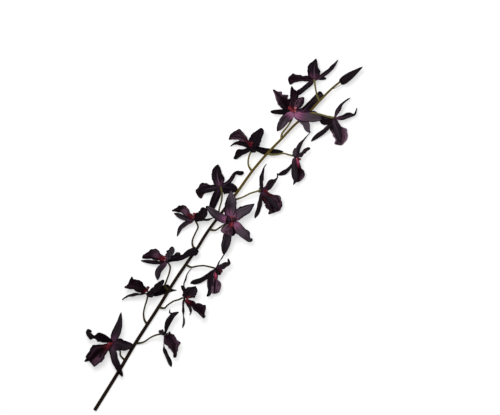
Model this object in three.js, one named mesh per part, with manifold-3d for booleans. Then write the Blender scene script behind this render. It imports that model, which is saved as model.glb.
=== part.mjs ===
// An oncidium orchid stem, cut and laid down: one long arching flower stem with fifteen open
// blooms on their own short stalks and one closed bud at the tip.
// Millimetres. The stem lies along +X from its cut end to its bud, +Z is up, and the part rests
// on z = 0. Blooms are drawn in a plan of the lying stem, as [right, up, height] from its cut end,
// and the whole plan is then turned so that the stem runs along +X.
import * as THREE from "three";
import { mergeVertices } from "three/addons/utils/BufferGeometryUtils.js";
import Module from "manifold-3d";

const wasm = await Module();
wasm.setup();

// Driving dimensions
const STEM_TURN = THREE.MathUtils.degToRad(52.1); // the stem's direction in the plan
const PLAN_MIDDLE = [453, 30.7]; // the middle of the part's own box, after the turn
const STEM_RADIUS = [3.1, 2.6, 1.7]; // at the cut end, half way and under the bud
const STALK_RADIUS = [2.1, 1.3, 1.8]; // where it leaves the stem, half way and at the bloom
const STRAND_RADIUS = [0.7, 0.6];
const HUB_RADIUS = 2.9; // the small knot that carries the petals
const BLADE = 0.9; // thickness of a petal, sepal or lip
const ROOT_START = 1; // how far from the middle of the knot a petal's root begins
const GAP = 0.35; // clearance between touching pieces
const STALK_CLEAR = 0.1; // a little more at a stalk's end
const TEPAL_CUP = 0.16; // rise of a petal's edges, as a share of its half width
const LIP_CUP = 0.28;
const WAVES = 3; // ruffles along a blade's edge
const WAVE_SHIFT = 2.1; // how far the two edges are out of step, in radians
const WAVE_SPREAD = 0.06; // sideways share of the ruffle
const TEPAL_TURN = 1.3; // how far each next petal of a bloom is out of step
const LIP_TURN = 0.9;
const CALLUS = 1.6; // height of the crest on a lip's claw
const CALLUS_REACH = [0.06, 0.36]; // where the crest starts and ends along the lip
const CALLUS_SLOPE = 3; // the crest ends at one part in this many of the half width
const LIP_LIFT = 0.9; // how far a lip's root stands in front of the knot
const LIP_DROP = 1.6; // and how far it sits below the knot's middle
const COLUMN_LENGTH = 10;
const COLUMN_RADIUS = 1.5;
const COLUMN_LIFT = 1.2;
const COLUMN_RISE = 1.9;
const BUD_LENGTH = 57;
const BUD_RADIUS = 8.6;

// Steps and sides of the faceted solids
const TEPAL_STEPS = [7, 1]; // along, and from the middle to one edge
const LIP_STEPS = [8, 2];
const STEM_STEPS = [26, 8]; // along, and round
const STALK_STEPS = [9, 6];
const STRAND_STEPS = [4, 5];
const KNOT_SIDES = 7;
const COLUMN_SIDES = 6;
const BUD_SIDES = 9;
const STEM_SAMPLES = 400; // places tried for the foot of a stalk

// Outlines, as shares of a blade's full width at equal steps from root to tip
const SEPAL = [0.24, 0.74, 0.92, 1, 0.96, 0.8, 0.5, 0.12];
const PETAL = [0.24, 0.76, 0.9, 0.98, 1, 0.9, 0.68, 0.24];
const TAILED = [0.26, 0.85, 1, 0.9, 0.66, 0.38, 0.2, 0.12];
const SPATHE = [0.24, 0.46, 0.76, 0.96, 1, 0.84, 0.52, 0.12];
const PINCHED = [0.22, 0.9, 1, 0.95, 0.68, 0.42, 0.72, 0.4];
const LIP = [0.2, 0.4, 0.52, 0.72, 0.92, 1, 0.9, 0.52];
const LOBE = [0.2, 0.46, 0.74, 0.94, 1, 0.84, 0.5, 0.16];
const DROP = [0.3, 0.75, 0.95, 1, 0.85, 0.6, 0.45, 0.3];

const vec = (p) => new THREE.Vector3(...p);
const unit = (p) => vec(p).normalize();

// One blade of a bloom: its middle line, full width and outline, and the way its front looks
const blade = (width, outline, line, face, more) => ({ width, outline, line, face, ruffle: 0.8, ...more });
const sepal = (width, line, face, more) => blade(width, SEPAL, line, face, { ruffle: 0.5, ...more });
const petal = (width, line, face, more) => blade(width, PETAL, line, face, { ruffle: 1.4, ...more });
const lip = (width, line, face, more) => blade(width, LIP, line, face, { ruffle: 2, ...more });

// The blooms, from the cut end to the bud. heart is in the plan; every blade's line starts there.
const BLOOMS = [
  {
    name: "01",
    heart: [38, 141, 31],
    face: [-0.35, -0.25, 0.9],
    stalk: [[61, 104, 6], [54, 114, 9], [53, 124, 15], [46, 135, 22]],
    tepals: [
      sepal(18, [[11, 26, 2], [18, 64, -3]]),
      blade(20, PINCHED, [[-22, 11, 5], [-39, 13, 1], [-48, 17, -3], [-52, 29, -6]]),
      petal(26, [[7, -3, 1], [26, -6, -1], [43, -5, -5]]),
      sepal(17, [[1, -10, 0], [5, -32, -2], [12, -54, -7], [20, -71, -11]]),
      sepal(16, [[-26, -18, -12], [-60, -40, -29]]),
    ],
    lip: [lip(41, [[-19, -13, 3], [-35, -27, 0], [-48, -39, -7]])],
    column: [-0.5, 0.15, 0.85],
  },
  {
    name: "02",
    heart: [146, 159, 28],
    face: [0.93, -0.15, 0.25],
    stalk: [[88, 139, 6], [101, 143, 10], [117, 153, 17], [131, 158, 24]],
    tepals: [
      blade(16, TAILED, [[6, 23, 4], [15, 40, 6], [22, 46, 4], [30, 47, 0]], [0.6, -0.3, 0.75]),
      blade(14, SPATHE, [[-1, -28, -6], [3, -41, -12], [13, -68, -26]], [0.97, 0, 0.2], {
        faceTip: [0.5, 0.2, 0.8],
      }),
      petal(14, [[-7, 2, 14], [-11, 4, 32]], [0.9, 0.3, 0.3]),
      petal(15, [[-6, 3, -12], [-9, 4, -27]]),
      sepal(13, [[3, -6, -12], [5, -10, -27]]),
    ],
    lip: [lip(27, [[9, -9, 5], [18, -23, 6], [21, -50, -5]], [0.4, 0.35, 0.85], { outline: DROP })],
    column: [0.85, 0.35, 0.4],
  },
  {
    name: "03",
    heart: [110, 243, 27],
    face: [-0.42, 0.85, 0.3],
    stalk: [[109, 180, 8], [104, 188, 10], [101, 202, 14], [104, 217, 18], [108, 230, 22]],
    tepals: [
      blade(14, TAILED, [[-17, -1, -2], [-34, -2, -6], [-45, -6, -12], [-56, -16, -22]], [-0.3, 0.94, 0.12]),
      petal(19, [[18, 10, 6], [35, 29, 8]], [-0.4, 0.4, 0.8]),
      sepal(14, [[18, 3, -12], [33, 6, -23], [61, 7, -25.5]], [-0.1, 0.2, 0.95]),
      petal(12, [[20, 10, -13], [43, 17, -23.5]], [-0.2, 0.3, 0.9]),
      petal(16, [[6, -4, 12], [11, -7, 28]]),
    ],
    lip: [lip(27, [[-10, 10, 4], [-24, 15, 4], [-43, 18, -2]], [0.3, 0.55, 0.8])],
    column: [0.05, 0.95, 0.35],
  },
  {
    name: "04",
    heart: [187, 234, 29],
    face: [0.88, -0.25, 0.4],
    stalk: [[136, 212, 9], [145, 213, 13], [153, 218, 18], [164, 228, 24], [174, 232, 27]],
    tepals: [
      petal(10, [[0, 12, 10], [-7, 27, 17]], [0.4, -0.3, 0.85]),
      petal(24, [[9, 12, 7], [23, 26, 11]], [0.3, -0.3, 0.9]),
      blade(11, TAILED, [[-2, 27, -6], [1, 39, -10], [6, 52, -16], [15, 63, -22]], [0.95, -0.1, 0.1]),
      blade(11, SPATHE, [[-2, -9, -2], [-2, -30, -9], [-1, -47, -17], [-3, -62, -25]], [0.97, 0, 0.1], {
        faceTip: [0.8, 0, 0.5],
      }),
      blade(10, SPATHE, [[5, -11, -7], [13, -26, -17], [11, -37, -27]], [0.9, 0.3, 0.3]),
    ],
    lip: [lip(27, [[11, -10, 6], [23, -20, 6], [41, -34, 0]], [0.2, 0.4, 0.88])],
    column: [0.75, 0.25, 0.6],
  },
  {
    name: "05",
    heart: [150, 311, 29],
    face: [-0.6, 0.5, 0.62],
    stalk: [[153, 251, 10], [147, 258, 15], [150, 268, 18], [156, 285, 22], [158, 299, 24]],
    tepals: [
      sepal(10, [[-10, -3, -5], [-31, -2, -13], [-54, 1, -24]], [-0.2, 0.4, 0.85]),
      sepal(14, [[-3, -6, 0], [-13, -16, -2], [-18, -26, -8], [-19, -40, -17]], [-0.3, 0.2, 0.9]),
      petal(19, [[3, 8, 5], [6, 17, 10], [14, 29, 13]]),
      petal(12, [[9, 8, -1], [25, 15, -6]], [-0.3, 0.5, 0.8]),
      sepal(15, [[11, 2, 0], [31, 9, -1], [48, 18, -2], [67, 20, -5]], [-0.2, 0.3, 0.9]),
    ],
    lip: [lip(26, [[-14, 5, 6], [-29, 8, 5], [-48, 9, -3]], [0.1, 0.45, 0.88])],
    column: [-0.4, 0.75, 0.5],
  },
  {
    name: "06",
    heart: [252, 295, 30],
    face: [0.72, -0.5, 0.45],
    stalk: [[190, 302, 12], [201, 298, 16], [214, 300, 21], [228, 302, 25], [240, 300, 27]],
    tepals: [
      blade(13, TAILED, [[4, 1, 1], [19, 7, 4], [29, 11, 2], [24, 21, -2]], [0.3, -0.5, 0.8]),
      sepal(9, [[6, 12, -6], [17, 29, -13], [24, 38, -18]], [0.85, -0.45, 0.1]),
      sepal(11, [[-11, -9, -6], [-32, -24, -18], [-53, -31, -29]], [0.3, -0.4, 0.85]),
      blade(13, SPATHE, [[-8, -10, 3], [-12, -28, 4], [-13, -45, -2], [-18, -58, -9]], [0.3, -0.1, 0.9]),
      petal(13, [[6, 3, -13], [10, 6, -28]]),
    ],
    lip: [lip(21, [[3, -13, 0], [2, -30, -4], [0, -52, -13]], [0.5, 0.1, 0.85])],
    column: [0.8, -0.1, 0.6],
  },
  {
    name: "07",
    heart: [208, 398, 29],
    face: [-0.5, 0.7, 0.5],
    stalk: [[211, 336, 14], [205, 342, 16], [203, 354, 18], [209, 368, 21], [215, 382, 23]],
    tepals: [
      sepal(11, [[-6, -1, -3], [-24, 4, -9], [-43, 12, -18]], [-0.1, 0.5, 0.85]),
      sepal(10, [[-5, -4, -3], [-18, -9, -9], [-30, -19, -17], [-37, -36, -28]], [-0.4, 0.2, 0.85]),
      petal(22, [[13, 7, 8], [25, 22, 12]], [-0.4, 0.3, 0.85]),
      sepal(10, [[12, 0, -1], [26, -2, -3], [38, 2, -6]], [-0.1, 0.85, 0.5]),
      petal(14, [[5, 6, -13], [9, 11, -28]]),
    ],
    lip: [lip(24, [[-11, 9, 6], [-25, 16, 6], [-43, 20, 0]], [0.2, 0.5, 0.85])],
    column: [0, 0.85, 0.55],
  },
  {
    name: "08",
    heart: [289, 395, 41],
    face: [0, -0.12, 1],
    stalk: [[241, 375, 15], [251, 375, 18], [262, 381, 23], [274, 389, 29]],
    tepals: [
      petal(25, [[-5, 19, 2], [-6, 42, 1], [-6, 65, -4]]),
      petal(20, [[14, 14, 1], [27, 22, 2], [44, 35, -5]]),
      petal(19, [[4, -5, 1], [20, -23, 0], [32, -35, -6], [39, -43, -10]]),
      sepal(16, [[-6, -12, -4], [-12, -24, -6], [-16, -46, -11], [-20, -70, -19]]),
      petal(18, [[-15, 3, 1], [-34, 12, 0], [-57, 30, -7]]),
    ],
    lip: [lip(31, [[-5, -9, 9], [-8, -20, 10], [-12, -33, 2]])],
    column: [-0.5, 0.25, 0.83],
  },
  {
    name: "09",
    heart: [262, 465, 25],
    face: [-0.2, -0.1, -0.97],
    stalk: [[253, 397, 16], [258, 406, 22], [260, 420, 29], [264, 438, 34], [264, 455, 33]],
    tepals: [
      petal(23, [[-5, 14, 0], [-7, 29, -3], [-5, 47, -10]]),
      blade(11, SPATHE, [[19, 11, -2], [28, 27, -8], [36, 31, -11], [48, 29, -15]]),
      petal(21, [[12, 0, -3], [36, -5, -15]]),
      sepal(17, [[-7, -18, -3], [-20, -50, -20]]),
      petal(15, [[-14, -2, -2], [-30, -5, -4], [-47, -9, -10]]),
    ],
    lip: [lip(29, [[-12, -1, -11], [-30, -4, -14], [-52, -9, -22]], [0, 0, -1])],
    column: [0.1, 0.1, -0.98],
  },
  {
    name: "10",
    heart: [348, 457, 29],
    face: [0.78, -0.4, 0.45],
    stalk: [[297, 441, 18], [309, 444, 21], [323, 452, 25], [336, 457, 27]],
    tepals: [
      blade(11, TAILED, [[-1, 24, 2], [4, 47, -2], [11, 56, -7]], [0.7, -0.2, 0.6]),
      petal(14, [[16, 11, 4], [29, 21, 2], [35, 27, -1]], [0.3, -0.3, 0.9]),
      sepal(11, [[-2, -10, -5], [-6, -30, -15], [-14, -56, -27]], [0.6, 0, 0.75]),
      sepal(14, [[7, -8, 6], [19, -19, 10], [35, -40, 6]], [0.1, 0.2, 0.95]),
      petal(13, [[-4, 3, -12], [-6, 5, -27]]),
    ],
    lip: [lip(37, [[10, -9, -2], [21, -22, -4], [28, -43, -12]], [0.2, 0.2, 0.95])],
    column: [0.9, 0.05, 0.45],
  },
  {
    name: "11",
    heart: [327, 546, 27],
    face: [-0.35, 0.8, 0.5],
    stalk: [[326, 499, 20], [321, 508, 21], [319, 519, 22], [322, 531, 23]],
    tepals: [
      blade(11, TAILED, [[-7, 3, -3], [-24, 10, -7], [-36, 9, -11], [-45, 3, -17]], [-0.1, 0.4, 0.9]),
      petal(23, [[8, 20, 7], [21, 41, 8]], [-0.3, 0.3, 0.9]),
      sepal(14, [[-3, -3, -3], [-21, -11, -13], [-37, -22, -25]], [-0.3, 0.2, 0.9]),
      sepal(12, [[12, -3, -6], [28, -8, -13], [48, -9, -16], [66, -8, -18]], [-0.2, 0.3, 0.9]),
      petal(14, [[3, -5, 10], [7, -10, 25]]),
    ],
    lip: [lip(28, [[-11, 12, 5], [-24, 22, 5], [-45, 25, -2]], [0.4, 0.4, 0.85])],
    column: [0, 0.85, 0.55],
  },
  {
    name: "12",
    heart: [418, 527, 28],
    face: [0.62, -0.55, 0.5],
    stalk: [[359, 536, 21], [368, 532, 23], [381, 533, 26], [393, 535, 28], [405, 533, 28]],
    tepals: [
      blade(9, TAILED, [[3, 7, -3], [7, 22, -6], [17, 34, -9], [33, 52, -16]], [0.4, -0.4, 0.8]),
      petal(12, [[-1, 9, 13], [0, 20, 30]]),
      petal(10, [[6, 2, 1], [17, 11, 3], [31, 19, 1]], [0.2, -0.5, 0.8]),
      sepal(10, [[-6, -14, -7], [-20, -28, -17], [-37, -37, -27]], [0.4, -0.2, 0.85]),
      sepal(13, [[-4, -9, 5], [-2, -31, 7], [-1, -47, 3], [-4, -57, -2]], [0.1, 0.1, 0.95]),
    ],
    lip: [lip(26, [[5, -12, -2], [6, -31, -5], [5, -52, -13]], [0.4, 0.1, 0.9])],
    column: [0.85, 0, 0.5],
  },
  {
    name: "13",
    heart: [415, 621, 39],
    face: [-0.05, 0.08, 1],
    stalk: [[387, 566, 22], [391, 576, 25], [402, 592, 29], [410, 606, 32]],
    tepals: [
      petal(17, [[-6, -5, 0], [-21, -18, -2], [-35, -39, -9]]),
      petal(20, [[3, -5, 0], [21, -10, -4], [40, -14, -12], [61, -14, -20]], [-0.05, -0.1, 1]),
      petal(15, [[7, -12, -7], [21, -25, -10], [29, -40, -14], [35, -43, -15]]),
      petal(17, [[18, 3, -12], [36, 20, -20], [55, 39, -25]], undefined, { ruffle: 0.5 }),
      blade(13, TAILED, [[-15, 0, -5], [-50, 1, -13]]),
    ],
    lip: [
      blade(25, LOBE, [[-12, 11, 3], [-27, 28, 2], [-44, 46, -6]], undefined, { ruffle: 2.4 }),
      blade(22, LOBE, [[-3, 13, 3], [-2, 34, 2], [-5, 53, -5]], undefined, { ruffle: 2.4 }),
      blade(20, LOBE, [[4, 10, 4], [12, 22, 5], [21, 33, 1]], undefined, { ruffle: 1.6 }),
    ],
    column: [0.35, 0.5, 0.8],
  },
  {
    name: "14",
    heart: [498, 608, 28],
    face: [0.25, -0.25, -0.93],
    stalk: [[446, 620, 24], [451, 620, 32], [464, 617, 37], [482, 613, 38], [493, 609, 36]],
    tepals: [
      blade(9, TAILED, [[4, 4, 0], [11, 17, -2], [20, 30, -6], [34, 41, -14]]),
      blade(10, TAILED, [[6, 0, 0], [21, 1, -4], [34, 5, -8], [44, 8, -12], [48, 20, -17]]),
      sepal(10, [[-6, -11, -4], [-18, -24, -10], [-33, -36, -18], [-46, -48, -27]]),
      petal(17, [[-12, -2, -5], [-26, -5, -13]]),
      sepal(16, [[0, -6, 1], [6, -25, 0], [14, -51, -11]]),
    ],
    lip: [lip(28, [[6, -13, -12], [13, -31, -14], [14, -54, -22]], [0, 0, -1])],
    column: [0.1, 0.1, -0.98],
  },
  {
    name: "15",
    heart: [456, 688, 26],
    face: [-0.2, 0, -0.97],
    stalk: [[467, 645, 24], [463, 656, 30], [461, 669, 34], [459, 681, 34]],
    tepals: [
      petal(25, [[1, 5, 0], [1, 23, -2], [5, 44, -8]]),
      blade(10, SPATHE, [[6, 0, 0], [27, 13, -4], [40, 25, -8], [51, 42, -15]]),
      petal(11, [[10, 2, -6], [26, 2, -18]]),
      sepal(11, [[-5, -6, -2], [-20, -20, -8], [-35, -32, -15]]),
      petal(13, [[-5, 9, -10], [-7, 22, -24]]),
    ],
    lip: [lip(22, [[-12, 2, -10], [-32, 2, -12], [-53, -1, -20]], [0, 0, -1])],
    column: [0.1, -0.1, -0.98],
  },
];

// The main stem from the cut end to the bud, in the plan
const STEM = [
  [0, 0, 3], [49, 79, 4], [85, 140, 5], [134, 215, 8.5], [163, 267, 10.5], [190, 305, 12],
  [213, 339, 13.5], [238, 377, 15], [293, 449, 18], [326, 498, 20], [357, 534, 21], [388, 566, 22],
  [444, 618, 24], [466, 643, 25], [491, 667, 26], [508, 681, 27],
];
const STRAND = [[491, 666, 25.5], [504, 671, 24], [514, 677, 20]]; // the thin strand under the bud
const BUD_BASE = [511, 682, 27];
const BUD_AIM = [47, 32, 2];

// Sections turned on an axis, as shares of the radius and of the length
const KNOT = [[0, -1], [0.75, -0.66], [1, 0], [0.75, 0.66], [0, 1]];
const COLUMN = [[0, 0], [1, 0], [0.8, 0.45], [1.5, 0.72], [1.35, 0.92], [0, 1]];
const BUD = [
  [0, 0], [0.42, 0.01], [0.82, 0.1], [1, 0.26], [0.86, 0.48], [0.56, 0.7], [0.26, 0.88], [0, 1],
];

// Colours
const COLOUR = {
  stem: { color: 0x6b5f23, roughness: 0.55, metalness: 0 },
  bloom: { color: 0x2b1a2b, roughness: 0.7, metalness: 0 },
  lip: { color: 0x4a1c34, roughness: 0.6, metalness: 0 },
  column: { color: 0xb23a52, roughness: 0.5, metalness: 0 },
};

// A smooth line through points, read at an equal share of its length
function lineThrough(points) {
  const curve = new THREE.CatmullRomCurve3(points.map(vec), false, "catmullrom", 0.5);
  return (t) => [curve.getPointAt(t), curve.getTangentAt(t)];
}

// A value between the entries of a list that are spread evenly from 0 to 1
function along(list, t) {
  const place = t * (list.length - 1);
  const low = Math.min(Math.floor(place), list.length - 2);
  return THREE.MathUtils.lerp(list[low], list[low + 1], place - low);
}

function toManifold(geometry) {
  const merged = mergeVertices(geometry, 1e-4);
  return new wasm.Manifold(
    new wasm.Mesh({
      numProp: 3,
      vertProperties: new Float32Array(merged.attributes.position.array),
      triVerts: new Uint32Array(merged.index.array),
    }),
  );
}

function solid(points, index) {
  const geometry = new THREE.BufferGeometry();
  const position = points.flatMap((p) => [p.x, p.y, p.z]);
  geometry.setAttribute("position", new THREE.Float32BufferAttribute(position, 3));
  geometry.setIndex(index);
  return toManifold(geometry);
}

// A round tube whose radius changes along a line; its section is carried along without twist
function tube(points, radii, [steps, sides]) {
  const at = lineThrough(points);
  const skin = [];
  let across = vec([0.3, -0.2, 1]);
  for (let i = 0; i <= steps; i++) {
    const [place, ahead] = at(i / steps);
    across = across.clone().addScaledVector(ahead, -across.dot(ahead)).normalize();
    const beside = ahead.clone().cross(across);
    const radius = along(radii, i / steps);
    for (let j = 0; j < sides; j++) {
      const turn = (2 * Math.PI * j) / sides;
      const rim = place.clone().addScaledVector(across, radius * Math.cos(turn));
      skin.push(rim.addScaledVector(beside, radius * Math.sin(turn)));
    }
  }
  const index = [];
  for (let i = 0; i < steps; i++)
    for (let j = 0; j < sides; j++) {
      const a = i * sides + j;
      const b = i * sides + ((j + 1) % sides);
      index.push(a, b, b + sides, a, b + sides, a + sides);
    }
  const last = steps * sides;
  for (let j = 1; j + 1 < sides; j++) {
    index.push(j + 1, j, 0);
    index.push(last, last + j, last + j + 1);
  }
  return solid(skin, index);
}

// How far a blade's front stands over its middle line, and how far it spreads, at a share t of its
// length and u of its half width: cupped edges, ruffles that die out at both ends, and a crest
function surfaceAt(form, t, u, halfWidth, phase) {
  const { ruffle, cup = TEPAL_CUP, callus = 0 } = form;
  const edge = u * u;
  const turn = 2 * Math.PI * WAVES * t + phase;
  const flutter = ruffle * Math.sin(Math.PI * Math.min(1, 1.25 * t)) * edge;
  const [start, end] = CALLUS_REACH;
  const crest = t < end ? Math.max(0, Math.sin((Math.PI * (t - start)) / (end - start))) : 0;
  const ridge = callus * crest * Math.max(0, 1 - CALLUS_SLOPE * Math.abs(u));
  const lift = cup * halfWidth * edge + flutter * Math.sin(turn + (u < 0 ? 0 : WAVE_SHIFT)) + ridge;
  const spread = halfWidth * u * (1 + WAVE_SPREAD * flutter * Math.sin(2 * turn));
  return [spread, lift];
}

// A thin leaf-like solid, with the same triangles on both faces
function bladeSolid(line, form, face, [rows, half], phase, grow) {
  const at = lineThrough(line);
  const front = [];
  const back = [];
  for (let i = 0; i <= rows; i++) {
    const t = i / rows;
    const [place, ahead] = at(t);
    const look = face.clone().lerp(form.faceTip ? unit(form.faceTip) : face, t);
    const side = look.cross(ahead).normalize();
    const up = ahead.clone().cross(side).normalize();
    const halfWidth = (form.width / 2) * along(form.outline, t) + grow;
    for (let j = -half; j <= half; j++) {
      const [spread, lift] = surfaceAt(form, t, j / half, halfWidth, phase);
      const middle = place.clone().addScaledVector(side, spread).addScaledVector(up, lift);
      front.push(middle.clone().addScaledVector(up, BLADE / 2 + grow));
      back.push(middle.clone().addScaledVector(up, -BLADE / 2 - grow));
    }
  }
  const across = 2 * half + 1;
  const total = front.length;
  const index = [];
  for (let i = 0; i < rows; i++)
    for (let j = 0; j + 1 < across; j++) {
      const a = i * across + j;
      const b = a + 1;
      const c = a + across;
      const d = c + 1;
      index.push(a, d, b, a, c, d);
      index.push(total + a, total + b, total + d, total + a, total + d, total + c);
    }
  const rim = [];
  for (let j = 0; j < across; j++) rim.push(j);
  for (let i = 1; i <= rows; i++) rim.push(i * across + across - 1);
  for (let j = across - 2; j >= 0; j--) rim.push(rows * across + j);
  for (let i = rows - 1; i > 0; i--) rim.push(i * across);
  rim.forEach((a, k) => {
    const b = rim[(k + 1) % rim.length];
    index.push(a, total + b, total + a, a, b, total + b);
  });
  return solid([...front, ...back], index);
}

// A small round knot, cap or bud turned on an axis
function spindle(centre, axis, section, radius, length, sides) {
  const profile = section.map(([r, h]) => new THREE.Vector2(r * radius, h * length));
  const geometry = new THREE.LatheGeometry(profile, sides);
  geometry.deleteAttribute("normal");
  geometry.deleteAttribute("uv");
  geometry.applyQuaternion(new THREE.Quaternion().setFromUnitVectors(vec([0, 1, 0]), axis));
  geometry.translate(centre.x, centre.y, centre.z);
  return toManifold(geometry);
}

function joined(solids) {
  return solids.reduce((all, one) => all.add(one));
}

// What is left of a piece beside its neighbour: the largest body, with the crumbs dropped
function clearOf(piece, neighbour) {
  const left = piece.subtract(neighbour).decompose();
  return left.reduce((most, one) => (one.volume() > most.volume() ? one : most));
}

function mesh(name, made, look) {
  const { numProp, vertProperties, triVerts } = made.getMesh();
  const position = [];
  for (let i = 0; i < vertProperties.length; i += numProp)
    position.push(vertProperties[i], vertProperties[i + 1], vertProperties[i + 2]);
  const geometry = new THREE.BufferGeometry();
  geometry.setAttribute("position", new THREE.Float32BufferAttribute(position, 3));
  geometry.setIndex([...triVerts]);
  const one = new THREE.Mesh(geometry, new THREE.MeshStandardMaterial(look));
  one.name = name;
  return one;
}

// A place in front of a bloom's knot, moved towards the lip by drop
function frontOf(bloom, lift, drop) {
  const face = unit(bloom.face);
  const aim = unit(bloom.lip[0].line[0]);
  const down = aim.addScaledVector(face, -aim.dot(face)).normalize();
  const place = vec(bloom.heart).addScaledVector(face, HUB_RADIUS + lift);
  return place.addScaledVector(down, drop);
}

// The sepals and petals of a bloom, fused to the knot that carries them
function tepalsOf(bloom, grow = 0) {
  const heart = vec(bloom.heart);
  const size = HUB_RADIUS + grow;
  const knot = spindle(heart, unit(bloom.face), KNOT, size, size, KNOT_SIDES);
  const blades = bloom.tepals.map((one, k) => {
    const root = unit(one.line[0]).multiplyScalar(ROOT_START).toArray();
    const line = [root, ...one.line].map((p) => vec(p).add(heart).toArray());
    return bladeSolid(line, one, unit(one.face ?? bloom.face), TEPAL_STEPS, TEPAL_TURN * k, grow);
  });
  return joined([knot, ...blades]);
}

// The lip hangs just in front of the knot, clear of the sepals and of the column
function lipOf(bloom) {
  const root = frontOf(bloom, LIP_LIFT, LIP_DROP).toArray();
  const steps = bloom.lip.length > 1 ? [LIP_STEPS[0], 1] : LIP_STEPS;
  const blades = bloom.lip.map((one, k) => {
    const line = [root, ...one.line.map((p) => vec(p).add(vec(bloom.heart)).toArray())];
    const form = { ...one, cup: LIP_CUP, callus: CALLUS };
    return bladeSolid(line, form, unit(one.face ?? bloom.face), steps, LIP_TURN + k, 0);
  });
  return clearOf(joined(blades), tepalsOf(bloom, GAP));
}

// The short column above the lip, with its anther cap
function columnOf(bloom) {
  const root = frontOf(bloom, GAP + COLUMN_LIFT, -COLUMN_RISE);
  const column = spindle(root, unit(bloom.column), COLUMN, COLUMN_RADIUS, COLUMN_LENGTH, COLUMN_SIDES);
  return clearOf(column, tepalsOf(bloom, GAP));
}

// A bloom's own stalk, from the middle of the stem to the back of its knot
function stalkOf(bloom) {
  const stem = lineThrough(STEM);
  const start = vec(bloom.stalk[0]);
  let root = stem(0)[0];
  for (let i = 1; i <= STEM_SAMPLES; i++) {
    const [place] = stem(i / STEM_SAMPLES);
    if (place.distanceTo(start) < root.distanceTo(start)) root = place;
  }
  const end = vec(bloom.heart).addScaledVector(unit(bloom.face), -(HUB_RADIUS + GAP + STALK_CLEAR));
  const line = [root.toArray(), ...bloom.stalk.slice(1), end.toArray()];
  return clearOf(tube(line, STALK_RADIUS, STALK_STEPS), tepalsOf(bloom, GAP));
}

function flowerStem() {
  const main = tube(STEM, STEM_RADIUS, STEM_STEPS);
  const strand = tube(STRAND, STRAND_RADIUS, STRAND_STEPS);
  return joined([main, strand, ...BLOOMS.map(stalkOf)]);
}

const spray = new THREE.Group();
const bud = spindle(vec(BUD_BASE), unit(BUD_AIM), BUD, BUD_RADIUS, BUD_LENGTH, BUD_SIDES);
spray.add(mesh("flower_stem", flowerStem(), COLOUR.stem));
spray.add(mesh("bud", bud, COLOUR.bloom));
for (const bloom of BLOOMS) {
  spray.add(mesh(`bloom_${bloom.name}_tepals`, tepalsOf(bloom), COLOUR.bloom));
  spray.add(mesh(`bloom_${bloom.name}_lip`, lipOf(bloom), COLOUR.lip));
  spray.add(mesh(`bloom_${bloom.name}_column`, columnOf(bloom), COLOUR.column));
}
spray.rotation.z = -STEM_TURN;
spray.position.set(-PLAN_MIDDLE[0], -PLAN_MIDDLE[1], 0);

const part = new THREE.Group();
part.add(spray);

export default part;
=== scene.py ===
import math

import bpy
import numpy as np
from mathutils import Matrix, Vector


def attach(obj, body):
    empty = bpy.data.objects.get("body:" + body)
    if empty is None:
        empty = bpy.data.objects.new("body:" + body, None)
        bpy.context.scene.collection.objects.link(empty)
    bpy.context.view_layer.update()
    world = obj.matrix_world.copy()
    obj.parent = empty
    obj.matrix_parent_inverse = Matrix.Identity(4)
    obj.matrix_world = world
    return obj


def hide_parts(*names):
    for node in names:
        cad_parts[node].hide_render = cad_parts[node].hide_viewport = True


# An oncidium orchid stem, cut and laid down, with fifteen dark blooms on curved stalks and one bud.
# Blooms are drawn in a plan of the lying stem in millimetres, as (right, up, height) from its cut
# end. The plan is then turned so that the stem runs along +X, and brought to metres.
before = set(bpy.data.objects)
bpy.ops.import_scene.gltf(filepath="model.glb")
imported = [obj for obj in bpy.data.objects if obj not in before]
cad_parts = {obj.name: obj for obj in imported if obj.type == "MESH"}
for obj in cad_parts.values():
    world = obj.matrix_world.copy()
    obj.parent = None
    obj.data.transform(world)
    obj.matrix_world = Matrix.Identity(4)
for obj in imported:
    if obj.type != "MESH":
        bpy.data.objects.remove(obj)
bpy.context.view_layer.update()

# The plan and how it lies in the frame
MM = 0.001
STEM_TURN = math.radians(52.1)
PLAN_MIDDLE = (453, 30.7)

# Driving dimensions of the flower, in millimetres; the radii run from the foot to the end
STEM_RADIUS = (3.9, 3.5, 2.85, 2.2)
STALK_RADIUS = (2.7, 1.85, 1.8, 2)
STRAND_RADIUS = (0.7, 0.55)
STALK_CLEAR = 0.1
HUB_RADIUS = 2.9
GAP = 0.35
ROOT_START = 1
LIP_LIFT = 0.9
LIP_DROP = 1.6
COLUMN_LENGTH = 10
COLUMN_RADIUS = 1.8
COLUMN_LIFT = 1.2
COLUMN_RISE = 1.9
BUD_BASE = (510.9, 681.2, 27)
BUD_AIM = (46.5, 33.2, 2)
BUD_LENGTH = 58.5
BUD_RADIUS = 8.6
BLADE_THICK = 0.55
RIM_THICK = 0.3
HEM = 0.37

# Ruffles: waves over the length of a blade, how far its second side is behind, and the turns of
# the blades of a bloom as (first, step)
WAVES = 3
WAVE_SHIFT = 2.1
WAVE_SPREAD = 0.02
TEPAL_TURNS = (0, 1.3)
LIP_TURNS = (0.9, 1)
WOBBLE_SIZE = 0.6

# The form of a blade over its length and half width, which both run to 1. A rise is how steeply
# a form sets in, and TIP_OPEN keeps the tip from closing to a point.
TEPAL_CUP = 0.16
LIP_CUP = 0.28
TIP_OPEN = 1.0001
END_RISE = 4
TEAR_RISE = 4
RUFFLE_RISE = 1.25
FOLD_RISE = 0.85
FOLD_WAVES = (1, 3)
FRILL_SHARE = 0.22
FRILL_RISE = 3
FRILL_WAVES = (5, 8)
GROOVE_WIDTH = 0.09
GROOVE_FADE = 0.7
RIM_RISE = 6
CALLUS = 1.6
CALLUS_REACH = (0.06, 0.36)
CALLUS_SLOPE = 3
CALLUS_WING_HEIGHT = 0.5
CALLUS_WING_PLACE = 0.42
CALLUS_WING_WIDTH = 0.1

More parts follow.
